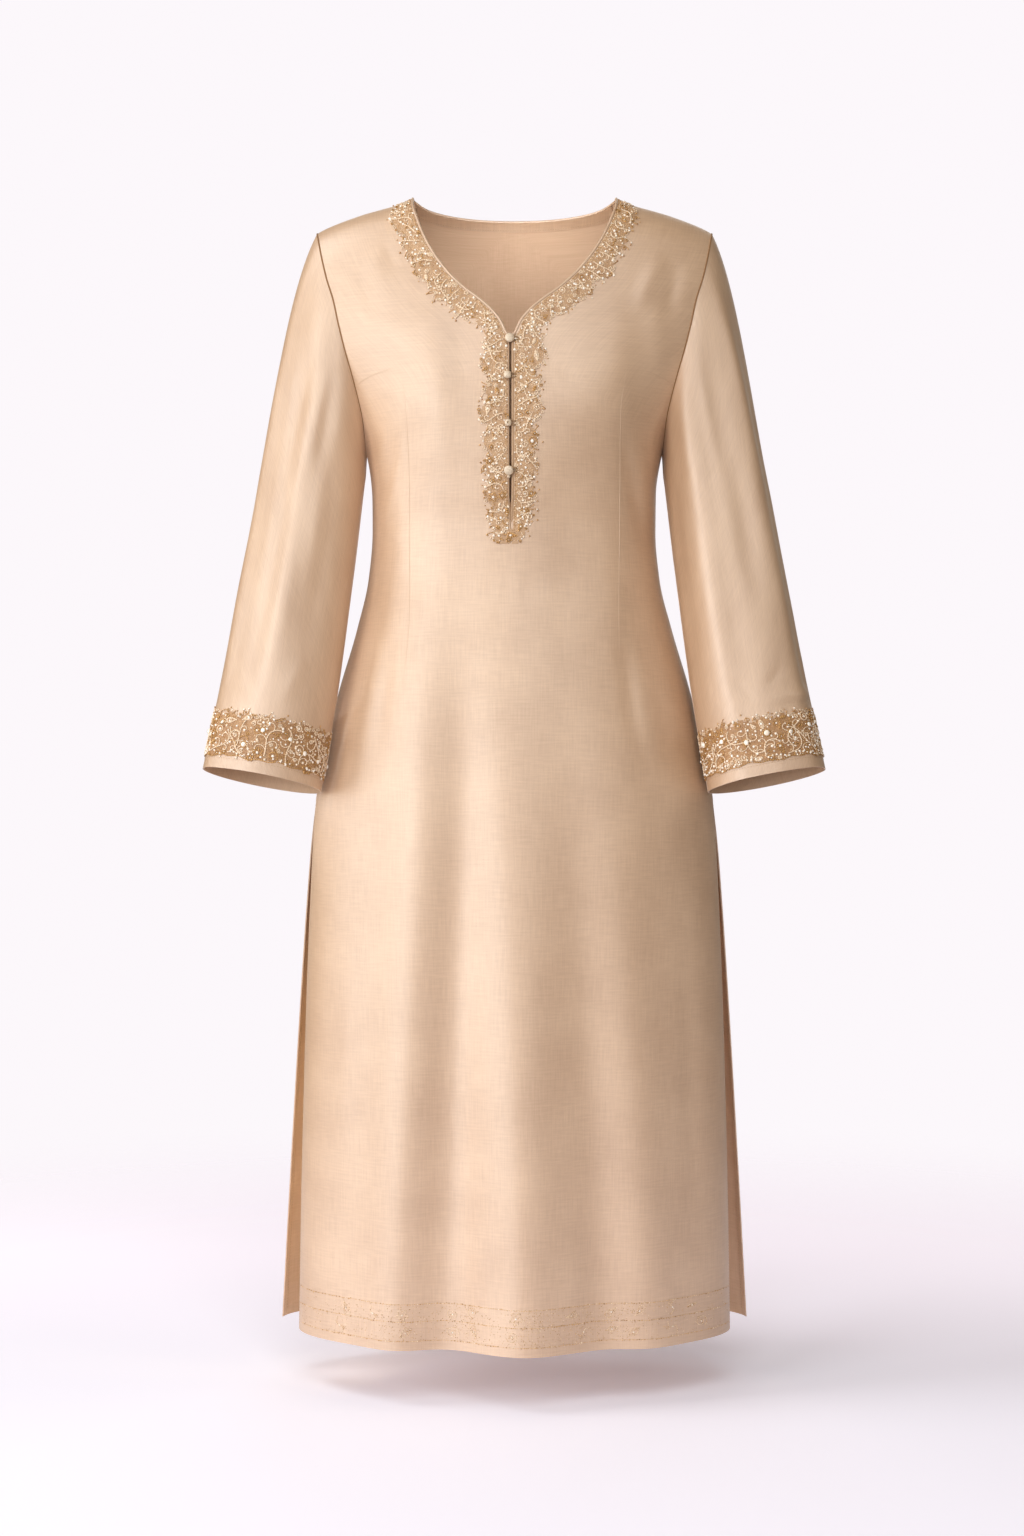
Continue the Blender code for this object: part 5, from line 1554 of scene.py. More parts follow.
# %% Neck bands
LOBE_COLUMNS = ("place", "half_length", "reach")
NECK_LOBES = {
    "right": (
        (0.006, 0.020, 0.019), (0.030, 0.022, 0.028), (0.058, 0.020, 0.027),
        (0.084, 0.019, 0.029), (0.108, 0.020, 0.030), (0.134, 0.020, 0.029),
        (0.158, 0.019, 0.024), (0.190, 0.017, 0.029), (0.214, 0.017, 0.031),
        (0.240, 0.018, 0.028), (0.262, 0.017, 0.032), (0.288, 0.018, 0.029),
        (0.313, 0.018, 0.028), (0.338, 0.017, 0.027), (0.360, 0.016, 0.0255),
        (0.377, 0.013, 0.021),
    ),
    "left": (
        (0.004, 0.020, 0.016), (0.027, 0.022, 0.026), (0.054, 0.021, 0.027),
        (0.082, 0.020, 0.030), (0.110, 0.019, 0.028), (0.132, 0.020, 0.028),
        (0.156, 0.019, 0.025), (0.187, 0.018, 0.030), (0.211, 0.018, 0.036),
        (0.238, 0.017, 0.032), (0.262, 0.018, 0.033), (0.290, 0.018, 0.029),
        (0.316, 0.017, 0.028), (0.340, 0.017, 0.026), (0.361, 0.016, 0.0255),
        (0.377, 0.013, 0.019),
    ),
}
BAND_TIP = 0.3510
BAND_TRIM = 0.0040
SLIT_END = 0.3400
NECKLINE_END = 0.178
NECK_LIP = 0.0018
LIP = {"right": 0.0016, "left": 0.0029}
LEAST_REACH = 0.004
STEMS_APART = 0.0120
NECK_BEAD_ROWS = ((0.0023, 0.00055), (0.0037, 0.00050))  # (from the edge, radius)


def neck_path(side):
    """The neckline and slit edge from the shoulder down, in half millimetres, and its lengths."""
    at = down_table(30, 18.0, 1200)
    drop = row_value("front", "inner_drop", at)
    x = side * row_value("front", "inner_x", at) + opening_middle(drop)
    line = resample(np.column_stack([x, drop])[drop <= BAND_TIP], 0.0005)
    return line, run_along(line)


def lobed_reach(side_name, along):
    """The largest of the lobes' half ellipses at each length along the neckline."""
    lobes = entries(NECK_LOBES[side_name], LOBE_COLUMNS)
    shares = [(along - lobe["place"]) / lobe["half_length"] for lobe in lobes]
    bumps = [lobe["reach"] * np.sqrt(np.clip(1 - share ** 2, 0.0, 1.0)) for lobe, share in zip(lobes, shares)]
    return np.maximum(np.max(bumps, axis=0), LEAST_REACH) - BAND_TRIM


def panel_place(face):
    """Maps flat (x, drop) places to a panel's cloth, lifted off it."""
    def place(x, drop, lift):
        points, out = cloth_point(face, np.asarray(x), np.asarray(drop))
        return points + lift * out, out
    return place


def neck_stems(path, away, along, reach, chance):
    """Stems from the neckline out across the band, every 12 mm, leaning either way."""
    stems = []
    for place in np.arange(0.010, along[-1] - 0.012, STEMS_APART):
        at = int(np.argmin(np.abs(along - place - chance.uniform(-0.002, 0.002))))
        lean = chance.uniform(-0.9, 0.9)
        across = np.array([away[at, 1], -away[at, 0]])
        way = math.cos(lean) * away[at] + math.sin(lean) * across
        length = max(0.010, (reach[at] - 0.003) * chance.uniform(0.9, 1.2))
        stems.append((path[at] + 0.0052 * away[at], way, length))
    return stems


def embroider_neck(side_name, seed):
    """One side's band: ground, motifs, beads, a scalloped edge and two bead rows by the neckline."""
    side = 1.0 if side_name == "left" else -1.0
    chance = np.random.default_rng(seed)
    place = panel_place("front")
    path, along = neck_path(side)
    ahead = unit(np.gradient(path, axis=0))
    away = side * np.column_stack([ahead[:, 1], -ahead[:, 0]])

    def inside(x, drop, margin):
        """True where the nearest neckline point is between the lip and the lobed reach away."""
        spots = np.column_stack([np.ravel(x), np.ravel(drop)])
        near, gap = nearest(spots, path)
        facing = np.sum((spots - path[near]) * away[near], axis=1) > 0.5 * gap
        lip = np.where(along[near] > NECKLINE_END, LIP[side_name], NECK_LIP)
        lip = np.where(path[near, 1] > SLIT_END, -0.001, lip + 0.5 * np.maximum(margin, 0.0))
        good = facing & (gap > lip) & (gap < lobed_reach(side_name, along[near]) - margin)
        limit = half_width("front", np.maximum(spots[:, 1], 0.0)) - 0.004 - margin
        good &= (spots[:, 1] > 0.004) & (np.abs(spots[:, 0]) < limit)
        return good.reshape(np.shape(x))

    xs = sorted((side * 0.128, FRONT_OPENING_X))
    low, high = np.array([xs[0] - 0.002, 0.002]), np.array([xs[1] + 0.002, BAND_TIP + 0.002])
    parts = [ground_patch(inside, low, high, place, 0.0016)]
    reach = lobed_reach(side_name, along)
    parts += fill(inside, low, high, place, chance, neck_stems(path, away, along, reach, chance))
    edge = path + away * reach[:, None]
    inner_limit = half_width("front", np.maximum(edge[:, 1], 0.0)) - 0.006
    good = (nearest(edge, path[::4])[1] > reach - 0.0004) & (edge[:, 1] > 0.006)
    good = np.flatnonzero(good & (np.abs(edge[:, 0]) < inner_limit))
    for run in np.split(good, np.flatnonzero(np.diff(good) > 1) + 1):
        if len(run) > 12:
            parts += fringe(edge[run], place, chance, side)
    lip = np.where(along > NECKLINE_END, LIP[side_name] - NECK_LIP, 0.0)
    for offset, radius in NECK_BEAD_ROWS:
        row = (path + away * (offset + lip)[:, None])[12:]
        row = resample(row[row[:, 1] < SLIT_END - 0.002], 0.00118)
        parts.append(bead_row(row, place, 0.0005, radius, (0.85, 1.15), chance, SEED))
    piece = gather("neck_beading_" + side_name, parts, WORK_FINISHES)
    return attach(piece, "neck_embroidery_" + side_name)


for name, seed in (("left", 11), ("right", 12)):
    embroider_neck(name, seed)

# %% [markdown]
# ## The cuff bands
# The same work goes all round each sleeve end, under a scalloped top edge, with a plain hem
# below it. The flat place is now the length round the sleeve and the height above its end,
# and it maps to the cloth through the sleeve's own formula, folds and creases included.
# Large flat pearls in rings of cord sit in the band, and a broken chain of small ones below.

# %% Cuff bands
CUFF_BOTTOM = 0.0125
CUFF_TOP = 0.0555
CUFF_LOBE = 0.0042
CUFF_LOBES = 18
TUBE_LENGTH = float(np.linalg.norm(ARM_CUFF - ARM_TOP))
CUFF_ROUND = 2 * math.pi * 0.0537  # once round the sleeve's end
CUFF_PEARLS, CUFF_STEMS = 16, 20


def cuff_place(side):
    """Maps a length round the cuff and a height above its edge to the sleeve's cloth, lifted off it."""
    step = 1e-4

    def place(around, up, lift):
        angle, along = around / CUFF_ROUND * 2 * math.pi, 1 - up / TUBE_LENGTH
        out = unit(np.cross(arm_ring(along, angle + step) - arm_ring(along, angle - step),
                            arm_ring(along + step, angle) - arm_ring(along - step, angle)))
        raised = sleeve_relief(side, CAP_SHARE + (1 - CAP_SHARE) * along, angle) + lift
        return mirror(arm_ring(along, angle) + raised[..., None] * out, side), mirror(out, side)
    return place


def cuff_pearls(place, chance):
    """Large flat pearls, each in a ring of cord, and a broken chain of small pearls below."""
    around = np.linspace(0.0, CUFF_ROUND, CUFF_PEARLS + 1)[:-1] + chance.uniform(-0.006, 0.006, CUFF_PEARLS)
    spots = np.column_stack([around, chance.uniform(0.024, 0.045, CUFF_PEARLS)])
    points, out = place(spots[:, 0], spots[:, 1], 0.0012)
    sizes = chance.uniform(0.0021, 0.0030, CUFF_PEARLS)
    parts = [beads(points, out, sizes, 0.55, chance, PEARL, fine=True)]
    parts += [laid_cord(spot + (size + 0.0006) * round_line(15), place, 0.0005, GOLD, 0.001)
              for spot, size in zip(spots, sizes)]
    around = np.arange(0.0, CUFF_ROUND, 0.0037)
    around = around[chance.uniform(size=len(around)) < 0.72]
    chain = np.column_stack([around, CUFF_BOTTOM + 0.0012 + 0.0030 * np.abs(np.sin(around * 140))])
    parts.append(bead_row(chain, place, 0.0008, 0.00115, (0.85, 1.2), chance, PEARL, 0.9))
    return parts


def embroider_cuff(side, seed):
    """One cuff's band, with its scalloped top edge and its two edge cords."""
    chance = np.random.default_rng(seed)
    place = cuff_place(side)

    def top(around):
        """The scalloped upper edge."""
        return CUFF_TOP - CUFF_LOBE + CUFF_LOBE * np.abs(np.sin(CUFF_LOBES * math.pi * around / CUFF_ROUND))

    def bottom(around):
        """The lower edge, which wavers a little."""
        return CUFF_BOTTOM + 0.0016 * np.sin(around * 230) * np.sin(around * 97 + 1)

    def inside(around, up, margin):
        """True between the two edges, less a margin."""
        return (up > bottom(around) + 0.6 * margin) & (up < top(around) - margin)

    low, high = np.array([0.0, CUFF_BOTTOM - 0.0015]), np.array([CUFF_ROUND, CUFF_TOP])
    parts = [ground_patch(inside, low, high, place, CUFF_ROUND / 160)]
    stems = []
    for root in np.linspace(0.0, CUFF_ROUND, CUFF_STEMS + 1)[:-1] + chance.uniform(-0.003, 0.003, CUFF_STEMS):
        lean, up = chance.uniform(0.3, 1.0) * chance.choice([-1, 1]), chance.uniform() < 0.65
        way = np.array([math.sin(lean), math.cos(lean)]) * (1.0 if up else -1.0)
        start = (root, CUFF_BOTTOM + 0.003 if up else CUFF_TOP - 0.007)
        stems.append((start, way, chance.uniform(0.028, 0.042)))
    parts += fill(inside, low, high, place, chance, stems, -0.16)
    parts += cuff_pearls(place, chance)
    around = np.linspace(0.0, CUFF_ROUND, 700)
    parts += fringe(np.column_stack([around, top(around)]), place, chance, -1.0)
    lower = np.column_stack([around, bottom(around)])
    parts += [laid_cord(lower[start:start + 50], place, 0.0005, GOLD) for start in range(0, 660, 52)]
    piece = gather("cuff_beading_" + side, parts, CUFF_FINISHES)
    return attach(piece, "cuff_embroidery_" + side)


for name, seed in (("left", 21), ("right", 22)):
    embroider_cuff(name, seed)

# %% [markdown]
# ## Seams, darts and stitches
# Seams tell how the garment was cut, so each real one is drawn: the armholes, shoulders,
# sides, sleeves and the darts that shape bust and waist. A seam is a thin roll of the same
# silk, half sunk in the cloth, because light catches a pressed seam just so. The roll round
# each armhole is dark silk instead: painted shade, standing for the shadow in the ditch
# between body and sleeve. Stitches are single small stretched beads with gaps between them,
# laid along their line.

# %% Seams and stitches
SEAM_ROLL = 0.00055
CUFF_STITCHED = 0.0098
stitch_thread = twisted_finish("stitch_thread", (0.46, 0.29, 0.15, 1.0), (0.72, 0.52, 0.33, 1.0),
                               0.45, 0.0, 0.0006)
# Dark silk that is painted shade: it stands for the shadow in the armhole ditch and in the slit's gap.
painted_shade_silk = silk_finish("painted_shade_silk", (0.24, 0.125, 0.055, 1.0), (0.32, 0.175, 0.085, 1.0), 0.7, gloss=0.1)


def stitches(path, out, length=0.0020, pitch=0.0029, width=0.00022, kind=0):
    """Balls stretched along a line: template * (length / 2, width, 0.6 * width) every pitch."""
    run = run_along(path)
    middles = np.arange(pitch / 2, run[-1], pitch)
    centres = between(middles, run, path)
    lift = unit(between(middles, run, np.broadcast_to(out, path.shape)))
    side = unit(np.cross(between(middles, run, unit(np.gradient(path, axis=0))), lift))
    axes = np.stack([np.cross(lift, side) * length / 2, side * width, lift * 0.6 * width], axis=1)
    points = centres[:, None] + BEAD_POINTS @ axes
    count = len(centres)
    triangles = BEAD_FACES[None] + (np.arange(count) * len(BEAD_POINTS))[:, None, None]
    uv = np.zeros((count * len(BEAD_FACES), 3, 2)) + 0.5
    return points.reshape(-1, 3), triangles.reshape(-1, 3), uv, np.full(count * len(BEAD_FACES), kind)


def on_panel(face, line, lift, step=0.004):
    """A line of (x, drop) places on a panel, as points and outward directions."""
    flat = resample(np.asarray(line, dtype=float), step)
    limit = half_width(face, flat[:, 1]) * 0.99999
    points, out = cloth_point(face, np.clip(flat[:, 0], -limit, limit), flat[:, 1])
    return points + lift * out, out


def eased_line(places):
    """A line through a few given points, read smoothly by their share of the way."""
    places = np.asarray(places, dtype=float)
    t = np.arange(len(places))
    fine = np.linspace(0.0, len(places) - 1, 12 * len(places))
    return np.column_stack([smooth(t, places[:, 0], fine), smooth(t, places[:, 1], fine)])


DARTS = {
    "front": (
        ((-0.108, 0.184), (-0.104, 0.215), (-0.100, 0.268),
         (-0.099, 0.312), (-0.099, 0.413), (-0.105, 0.494)),
        ((0.109, 0.176), (0.104, 0.200), (0.100, 0.228),
         (0.099, 0.312), (0.099, 0.408), (0.101, 0.470)),
        ((-0.166, 0.204), (-0.155, 0.196), (-0.139, 0.189), (-0.116, 0.184)),
        ((0.166, 0.204), (0.155, 0.196), (0.139, 0.189), (0.116, 0.184)),
    ),
    "back": (
        ((-0.082, 0.215), (-0.078, 0.300), (-0.078, 0.380), (-0.084, 0.480)),
        ((0.082, 0.215), (0.078, 0.300), (0.078, 0.380), (0.084, 0.480)),
    ),
}


def body_seams():
    """Every seam of the body: darts, sides, shoulders, armholes and the middle of the back."""
    parts = []
    for face, lines in DARTS.items():
        for line in lines:
            points, out = on_panel(face, eased_line(line), -0.00012)
            fade = np.sin(math.pi * np.linspace(0.03, 0.97, len(points))) ** 0.5
            parts.append(cord(points, out, 0.00042 * fade))
    middle, out = on_panel("back", ((0.0, 0.0125), (0.0, 1.1225)), -0.0001, 0.008)
    parts.append(cord(middle, out, 0.00045))
    first_drops = np.linspace(0.0, 0.04, 200)
    for side, side_name in ((-1.0, "right"), (1.0, "left")):
        drop = np.linspace(0.256, SLIT_TOP + 0.001, 90)
        edge = np.column_stack([side * half_width("front", drop), 0.0 * drop, -drop])
        parts.append(cord(edge, np.array([side, 0.0, 0.0]), SEAM_ROLL))
        x = np.linspace(0.1015, 0.1965, 60)
        fall = np.interp(x, half_width("front", first_drops), first_drops)
        shoulder = np.column_stack([side * x, 0.0 * x, -fall])
        parts.append(cord(shoulder, np.array([0.0, 0.0, 1.0]), SEAM_ROLL))
        ring, off = armhole(np.linspace(0.0, 2 * math.pi, 181))
        ring = mirror(ring + 0.5 * SEAM_GAP * off, side_name)
        # The armhole roll takes the dark finish: painted shade of the ditch at the seam.
        parts.append(cord(ring, unit(ring - ring[:-1].mean(axis=0)), 0.00085, kind=1))
    return attach(gather("body_seams", parts, [silk, painted_shade_silk]))


def sleeve_seams():
    """The seam under each arm and the stitch line of each sleeve's plain hem."""
    parts = []
    for side in ("left", "right"):
        share = np.linspace(0.004, 1.0, 120)
        base = sleeve_smooth(share, np.radians(np.array([179.0, 180.0, 181.0])))
        out = unit(np.cross(base[:, 2] - base[:, 0], np.gradient(base[:, 1], axis=0)))
        lift = sleeve_relief(side, share, math.pi) - 0.0001
        parts.append(cord(mirror(base[:, 1] + lift[:, None] * out, side), mirror(out, side), 0.0005))
        around = np.linspace(0.0, CUFF_ROUND, 300)
        points, out = cuff_place(side)(around, 0 * around + CUFF_STITCHED, 0.00008)
        parts.append(stitches(points, out, kind=1))
    return attach(gather("sleeve_seams", parts, [silk, stitch_thread]))


body_seams()
sleeve_seams()

# %% [markdown]
# ## The neck edge and the slit
# The neckline is bound with a fine piping, and inside the back a strip of the same silk
# covers the raw edge. Each edge of the slit is rolled, broadly at the left and finely at the
# right, and the cloth that is turned in there meets behind the slit. That turned-in cloth and
# a short cord at the slit's closed end are dark silk: painted shade, for the dark gap of the
# slit. The strip follows the back's own points, moved inwards by the cloth's thickness.

# %% Piping, strip and welts
PIPING_RADIUS = 0.0013
STRIP_DEPTH = 0.0078
STRIP_GAP = 0.00025
SLIT_TURNING = 0.008
WELT_END = 0.3335


def neck_edge(face, side):
    """The neckline's half on one panel, from the shoulder down, and its outward directions."""
    at = down_table(12, 11.0 if face == "front" else 6.0, 160)
    drop = row_value(face, "inner_drop", at)
    lean = opening_middle(drop) if face == "front" else 0.0
    line = resample(np.column_stack([side * row_value(face, "inner_x", at) + lean, drop]), 0.0006)
    limit = half_width(face, line[:, 1])
    points, out = cloth_point(face, np.clip(line[:, 0], -limit, limit), line[:, 1])
    return resample(np.hstack([points, out]), 0.0025)


def neck_piping():
    """One cord round the whole neckline, from the slit's top round the back to the slit's top."""
    left, back_left = neck_edge("front", 1.0), neck_edge("back", 1.0)
    right, back_right = neck_edge("front", -1.0), neck_edge("back", -1.0)
    line = np.vstack([left[::-1], back_left[1:], back_right[::-1][1:], right[1:]])
    points, out = line[:, :3] - 0.0003 * line[:, 3:], unit(line[:, 3:])
    piece = gather("neckline_piping", [cord(points, out, PIPING_RADIUS, sides=8)], [silk])
    return attach(piece, "neck_piping")


def neck_strip():
    """Rows from the back neckline into the back, at (cloth + gap) under the surface, 7.8 mm deep."""
    at = np.linspace(0.3, 6.0, 70)
    share = np.linspace(0.0, 1.0, 6)
    inner_x, inner_drop = row_value("back", "inner_x", at), row_value("back", "inner_drop", at)
    ahead_x, ahead_drop = np.gradient(inner_x), np.gradient(inner_drop)
    size = np.hypot(ahead_x, ahead_drop)
    ahead_x[-1], ahead_drop[-1], size[-1] = -1.0, 0.0, 1.0
    depth = (0.0004 + STRIP_DEPTH * share)[None, :]
    x = np.maximum(inner_x[:, None] + (ahead_drop / size)[:, None] * depth, 0.0)
    x[-1] = 0.0
    drop = inner_drop[:, None] - (ahead_x / size)[:, None] * depth
    grids, rows = [], []
    for side in (1.0, -1.0):
        points, out = cloth_point("back", side * x, drop)
        points = points - (CLOTH + STRIP_GAP) * out
        grids.append((points, out, np.stack([side * x, -drop], axis=-1), side > 0, False))
        inner = points[:, 4] - 0.00068 * out[:, 4]
        rows.append(stitches(resample(inner, 0.001), -out[len(out) // 2, 4], 0.0018, 0.0026))
    strip = attach(shell("neck_binding_strip", grids, 0.0006, [silk]), "back_neck_facing")
    attach(gather("neck_strip_stitches", rows, [stitch_thread]))
    return strip


def slit_edge(drop, side, beyond):
    """x of one edge of the slit at each drop, a little beyond it, and x of the slit's middle."""
    down = np.linspace(10.0, 18.0, 400)
    at = np.interp(drop, row_value("front", "inner_drop", down), down)
    middle = opening_middle(drop)
    return side * (row_value("front", "inner_x", at) + beyond) + middle, middle


def slit_welts():
    """A flat roll along each edge of the slit, broad at the left and fine at the right, and at its end a dark
    cord that is painted shade.
    """
    parts = []
    drop = np.linspace(FRONT_OPENING_TOP - 0.004, WELT_END, 80)
    fade = np.clip((WELT_END - drop) / 0.004, 0.25, 1.0)
    for side, radius, flat in ((1.0, 0.00120, 0.30), (-1.0, 0.0006, 0.7)):
        points, out = cloth_point("front", slit_edge(drop, side, 0.85 * radius + 0.0002)[0], drop)
        parts.append(cord(points + 0.0002 * out, out, radius * fade, sides=8, flat=flat))
    end, out = on_panel("front", ((FRONT_OPENING_X, 0.315), (FRONT_OPENING_X, 0.3415)), 0.0, 0.001)
    # The slit's closed end: a dark cord that is painted shade.
    parts.append(cord(end, out, 0.0006 * np.linspace(1.0, 0.4, len(end)), kind=1))
    return attach(gather("slit_welts", parts, [stitched_ground, painted_shade_silk]))


def slit_turnings():
    """The cloth turned in along both edges of the slit: from each edge 8 mm back, where they meet. Its dark
    finish is painted shade, for the dark gap of the slit.
    """
    drop = np.linspace(FRONT_OPENING_TOP - 0.001, 0.3375, 90)
    share = np.linspace(0.0, 1.0, 6)[None, :]
    grids = []
    for side in (1.0, -1.0):
        edge, middle = slit_edge(drop, side, 0.0004)
        points, out = cloth_point("front", edge, drop)
        places = points[:, None] - (0.0003 + SLIT_TURNING * share)[..., None] * out[:, None]
        places[..., 0] = edge[:, None] + (middle + side * 0.0001 - edge)[:, None] * share ** 3
        normals = np.tile(np.array([-side, 0.0, 0.0]), places.shape[:2] + (1,))
        uv = np.stack(np.broadcast_arrays(SLIT_TURNING * share, -drop[:, None]), axis=-1)
        grids.append((places, normals, uv, side > 0, False))
    return attach(shell("slit_turnings", grids, 0.0002, [painted_shade_silk]))


neck_piping()
neck_strip()
slit_welts()
slit_turnings()

# %% [markdown]
# ## Hem border and turned edges
# Three lines of tiny beads run above the front hem, with scattered small motifs between
# them, and the back carries the lines alone. The slit edges and the hem are turned in and
# stitched down. The stitches show on the inside too, where the slits let us look.

# %% Hem border
HEM_LINES = (0.0090, 0.0275, 0.0440)
HEM_BEAD = 0.00058
HEM_PITCH = 0.0024
MOTIF_PLACES = (-0.168, -0.128, -0.103, -0.066, -0.034, -0.004, 0.030, 0.058, 0.086, 0.112, 0.146, 0.178)
DUST_PLACES = (-0.112, -0.050, 0.018, 0.062, 0.104)
DUST_TRIES = 6400
STITCH_INSET = 0.0100


def hem_line(up, width):
    """Places across a panel, from -width to width, a given height above the hem."""
    x = np.linspace(-width, width, 220)
    return np.column_stack([x, 0 * x + HEM - up])


def bead_lines(place, width, share, chance):
    """Three lines of beads, a share of them there, each over a line of stitches."""
    parts = []
    for up in HEM_LINES:
        line = resample(hem_line(up, width), 0.001)
        points, out = place(line[:, 0], line[:, 1], 0.0001)
        parts.append(stitches(points, out, 0.0018, 0.0024, 0.00024, GOLD))
        row = resample(line, HEM_PITCH)
        row = row[chance.uniform(size=len(row)) < share]
        row = row + 0.00025 * chance.normal(size=row.shape)
        parts.append(bead_row(row, place, 0.0003, HEM_BEAD, (0.7, 1.3), chance, SEED, 0.8))
    return parts


def hem_motifs(place, chance):
    """Dotted motifs between the lines, each with one cord and one pearl."""
    parts = []
    for x in MOTIF_PLACES:
        for low, high in zip(HEM_LINES, HEM_LINES[1:]):
            if chance.uniform() < 0.12:
                continue
            centre = np.array([x + chance.uniform(-0.008, 0.008),
                               HEM - (low + high) / 2 + chance.uniform(-0.002, 0.002)])
            motif, _ = MOTIFS[chance.integers(len(MOTIFS))]
            spin = spin_by(chance.uniform(0.0, 2 * math.pi), 0.0062 * chance.uniform(0.75, 1.1))
            for line in motif[:2]:
                dots = resample(centre + line @ spin.T, 0.0015)
                parts.append(bead_row(dots, place, 0.0002, 0.00045, (0.7, 1.3), chance, SEED, 0.8))
            parts.append(laid_cord(centre + motif[0] @ spin.T, place, 0.00028, IVORY, 0.0002))
            points, out = place(*centre.reshape(2, 1), 0.0004)
            parts.append(beads(points, out, 0.0008, 0.8, chance, PEARL, fine=True))
    return parts


def hem_dust(place, width, chance):
    """Fine beads scattered over the border, closer together near a few places."""
    dust = np.column_stack([chance.uniform(-width, width, DUST_TRIES),
                            HEM - chance.uniform(0.008, 0.045, DUST_TRIES)])
    thick = sum(np.exp(-((dust[:, 0] - x) / 0.017) ** 2) for x in DUST_PLACES)
    dust = dust[chance.uniform(size=len(dust)) < 0.16 + 0.45 * thick * (1 - np.abs(dust[:, 0]) / width)]
    return bead_row(dust, place, 0.00008, 0.00032, (0.8, 1.5), chance, SEED, 0.8)


def hem_border(face, seed):
    """Bead lines, and on the front also motifs and a dust of fine beads."""
    chance = np.random.default_rng(seed)
    place = panel_place(face)
    width = float(half_width(face, HEM - 0.02)) * 0.985
    parts = bead_lines(place, width, 0.85 if face == "front" else 0.7, chance)
    if face == "front":
        parts += hem_motifs(place, chance)
        parts.append(hem_dust(place, width, chance))
    return attach(gather("hem_border_" + face, parts, WORK_FINISHES))


def edge_stitches():
    """Stitches 10 mm in from the slit edges, inside and outside, and above the hem inside."""
    parts = []
    inward = np.linspace(1.0, 0.0, 60)[None, :]
    drop = np.linspace(SLIT_TOP + 0.004, HEM - 0.003, 700)
    for face in ("front", "back"):
        for side in (-1.0, 1.0):
            x = side * half_width(face, drop)[:, None] * (1 - 0.30 * inward ** 2)
            points, out = cloth_point(face, x, drop[:, None] + 0 * x)
            away = edge_distance(points, True)
            line = np.array([between(-STITCH_INSET, -away[k], np.hstack([points[k], out[k]]))
                             for k in range(0, len(drop), 4)])
            for lift, thread in ((0.00008, 0.0002), (-(CLOTH + TURNED) - 0.00008, 0.0003)):
                path, outward_way = line[:, :3] + lift * line[:, 3:], line[:, 3:] * np.sign(lift)
                parts.append(stitches(path, outward_way, width=thread))
        width = float(half_width(face, HEM - 0.01)) * 0.97
        points, out = on_panel(face, hem_line(STITCH_INSET, width), 0.0, 0.002)
        parts.append(stitches(points - (CLOTH + TURNED + 0.00008) * out, -out, width=0.0002))
    return attach(gather("edge_stitches", parts, [stitch_thread]))


hem_border("front", 31)
hem_border("back", 32)
edge_stitches()

# %% [markdown]
# ## Buttons and loops
# Four small buttons on shanks close the slit, and no two are quite alike: two domes, a
# squarish one and a drilled bead. All come from one grid: a profile from the middle of the
# top, over the edge and under to the shank, carried round. A power above 2 squares the round,
# and gathers ripple it slightly, as where cloth is drawn together under the button.
# A thread loop at each shank comes from the other edge.

# %% Buttons and loops
BUTTON_COLUMNS = ("x", "drop", "diameter", "square", "hole", "gathers")
BUTTONS = (
    (-0.0048, 0.1590, 0.0090, 2.0, 0.0, 14),
    (-0.0068, 0.1948, 0.0068, 4.0, 0.0, 4),
    (-0.0062, 0.2402, 0.0066, 2.4, 0.30, 6),
    (-0.0056, 0.2845, 0.0092, 2.0, 0.0, 12),
)
SHANK = 0.0011
BUTTON_FOOT = 0.0006
BUTTON_UNDER = 0.0022
BUTTON_TOP = 0.0056
button_silk = silk_finish("button_silk", (0.54, 0.40, 0.26, 1.0), (0.74, 0.59, 0.42, 1.0), 0.42, 0.0005, 0.8)
loop_thread = twisted_finish("loop_thread", (0.20, 0.115, 0.05, 1.0), (0.42, 0.26, 0.13, 1.0),
                             0.5, 0.0, 0.0008)


def button_frame(x, drop):
    """The place of a button's foot on the cloth, with directions out, across and down."""
    seat, out = cloth_point("front", np.array(x), np.array(drop))
    across = unit(np.cross(out, np.array([0.0, 0.0, -1.0])))
    across = across * np.sign(across[0])
    return seat, out, across, np.cross(across, out) * -1.0


def turned_shape(radius, square, hole, gathers, low, high, foot):
    """Profile (radius, height) from the top's middle to the foot, times a squarish, rippled round."""
    rise, belly = high - low, 0.38 * (high - low)
    dome = [(radius * math.sin(a), low + belly + (rise - belly) * math.cos(a))
            for a in np.linspace(0.0, math.pi / 2, 9)]
    if hole:
        well = [(0.0, low + 0.5 * rise), (0.6 * hole * radius, low + 0.5 * rise),
                (hole * radius, high - 0.15 * rise)]
        dome = well + [place for place in dome if place[0] > 1.25 * hole * radius]
    profile = np.array(dome + [(0.93 * radius, low + 0.35 * belly), (0.80 * radius, low),
                               (SHANK, low - 0.0001), (SHANK, foot), (0.0, foot)])
    angle = np.linspace(0.0, 2 * math.pi, 33)[:-1]
    round_shape = (np.abs(np.cos(angle)) ** square + np.abs(np.sin(angle)) ** square) ** (-1 / square)
    ripple = 1 + 0.018 * np.cos(gathers * angle)
    share = np.clip(profile[:, 0] / radius, 0.0, 1.0)[:, None]
    reach = profile[:, :1] * (1 + (round_shape * ripple - 1) * share)
    height = profile[:, 1:] - 0.00012 * share * (1 - share) * 4 * np.cos(gathers * angle)
    return reach * np.cos(angle), reach * np.sin(angle), height + 0 * angle


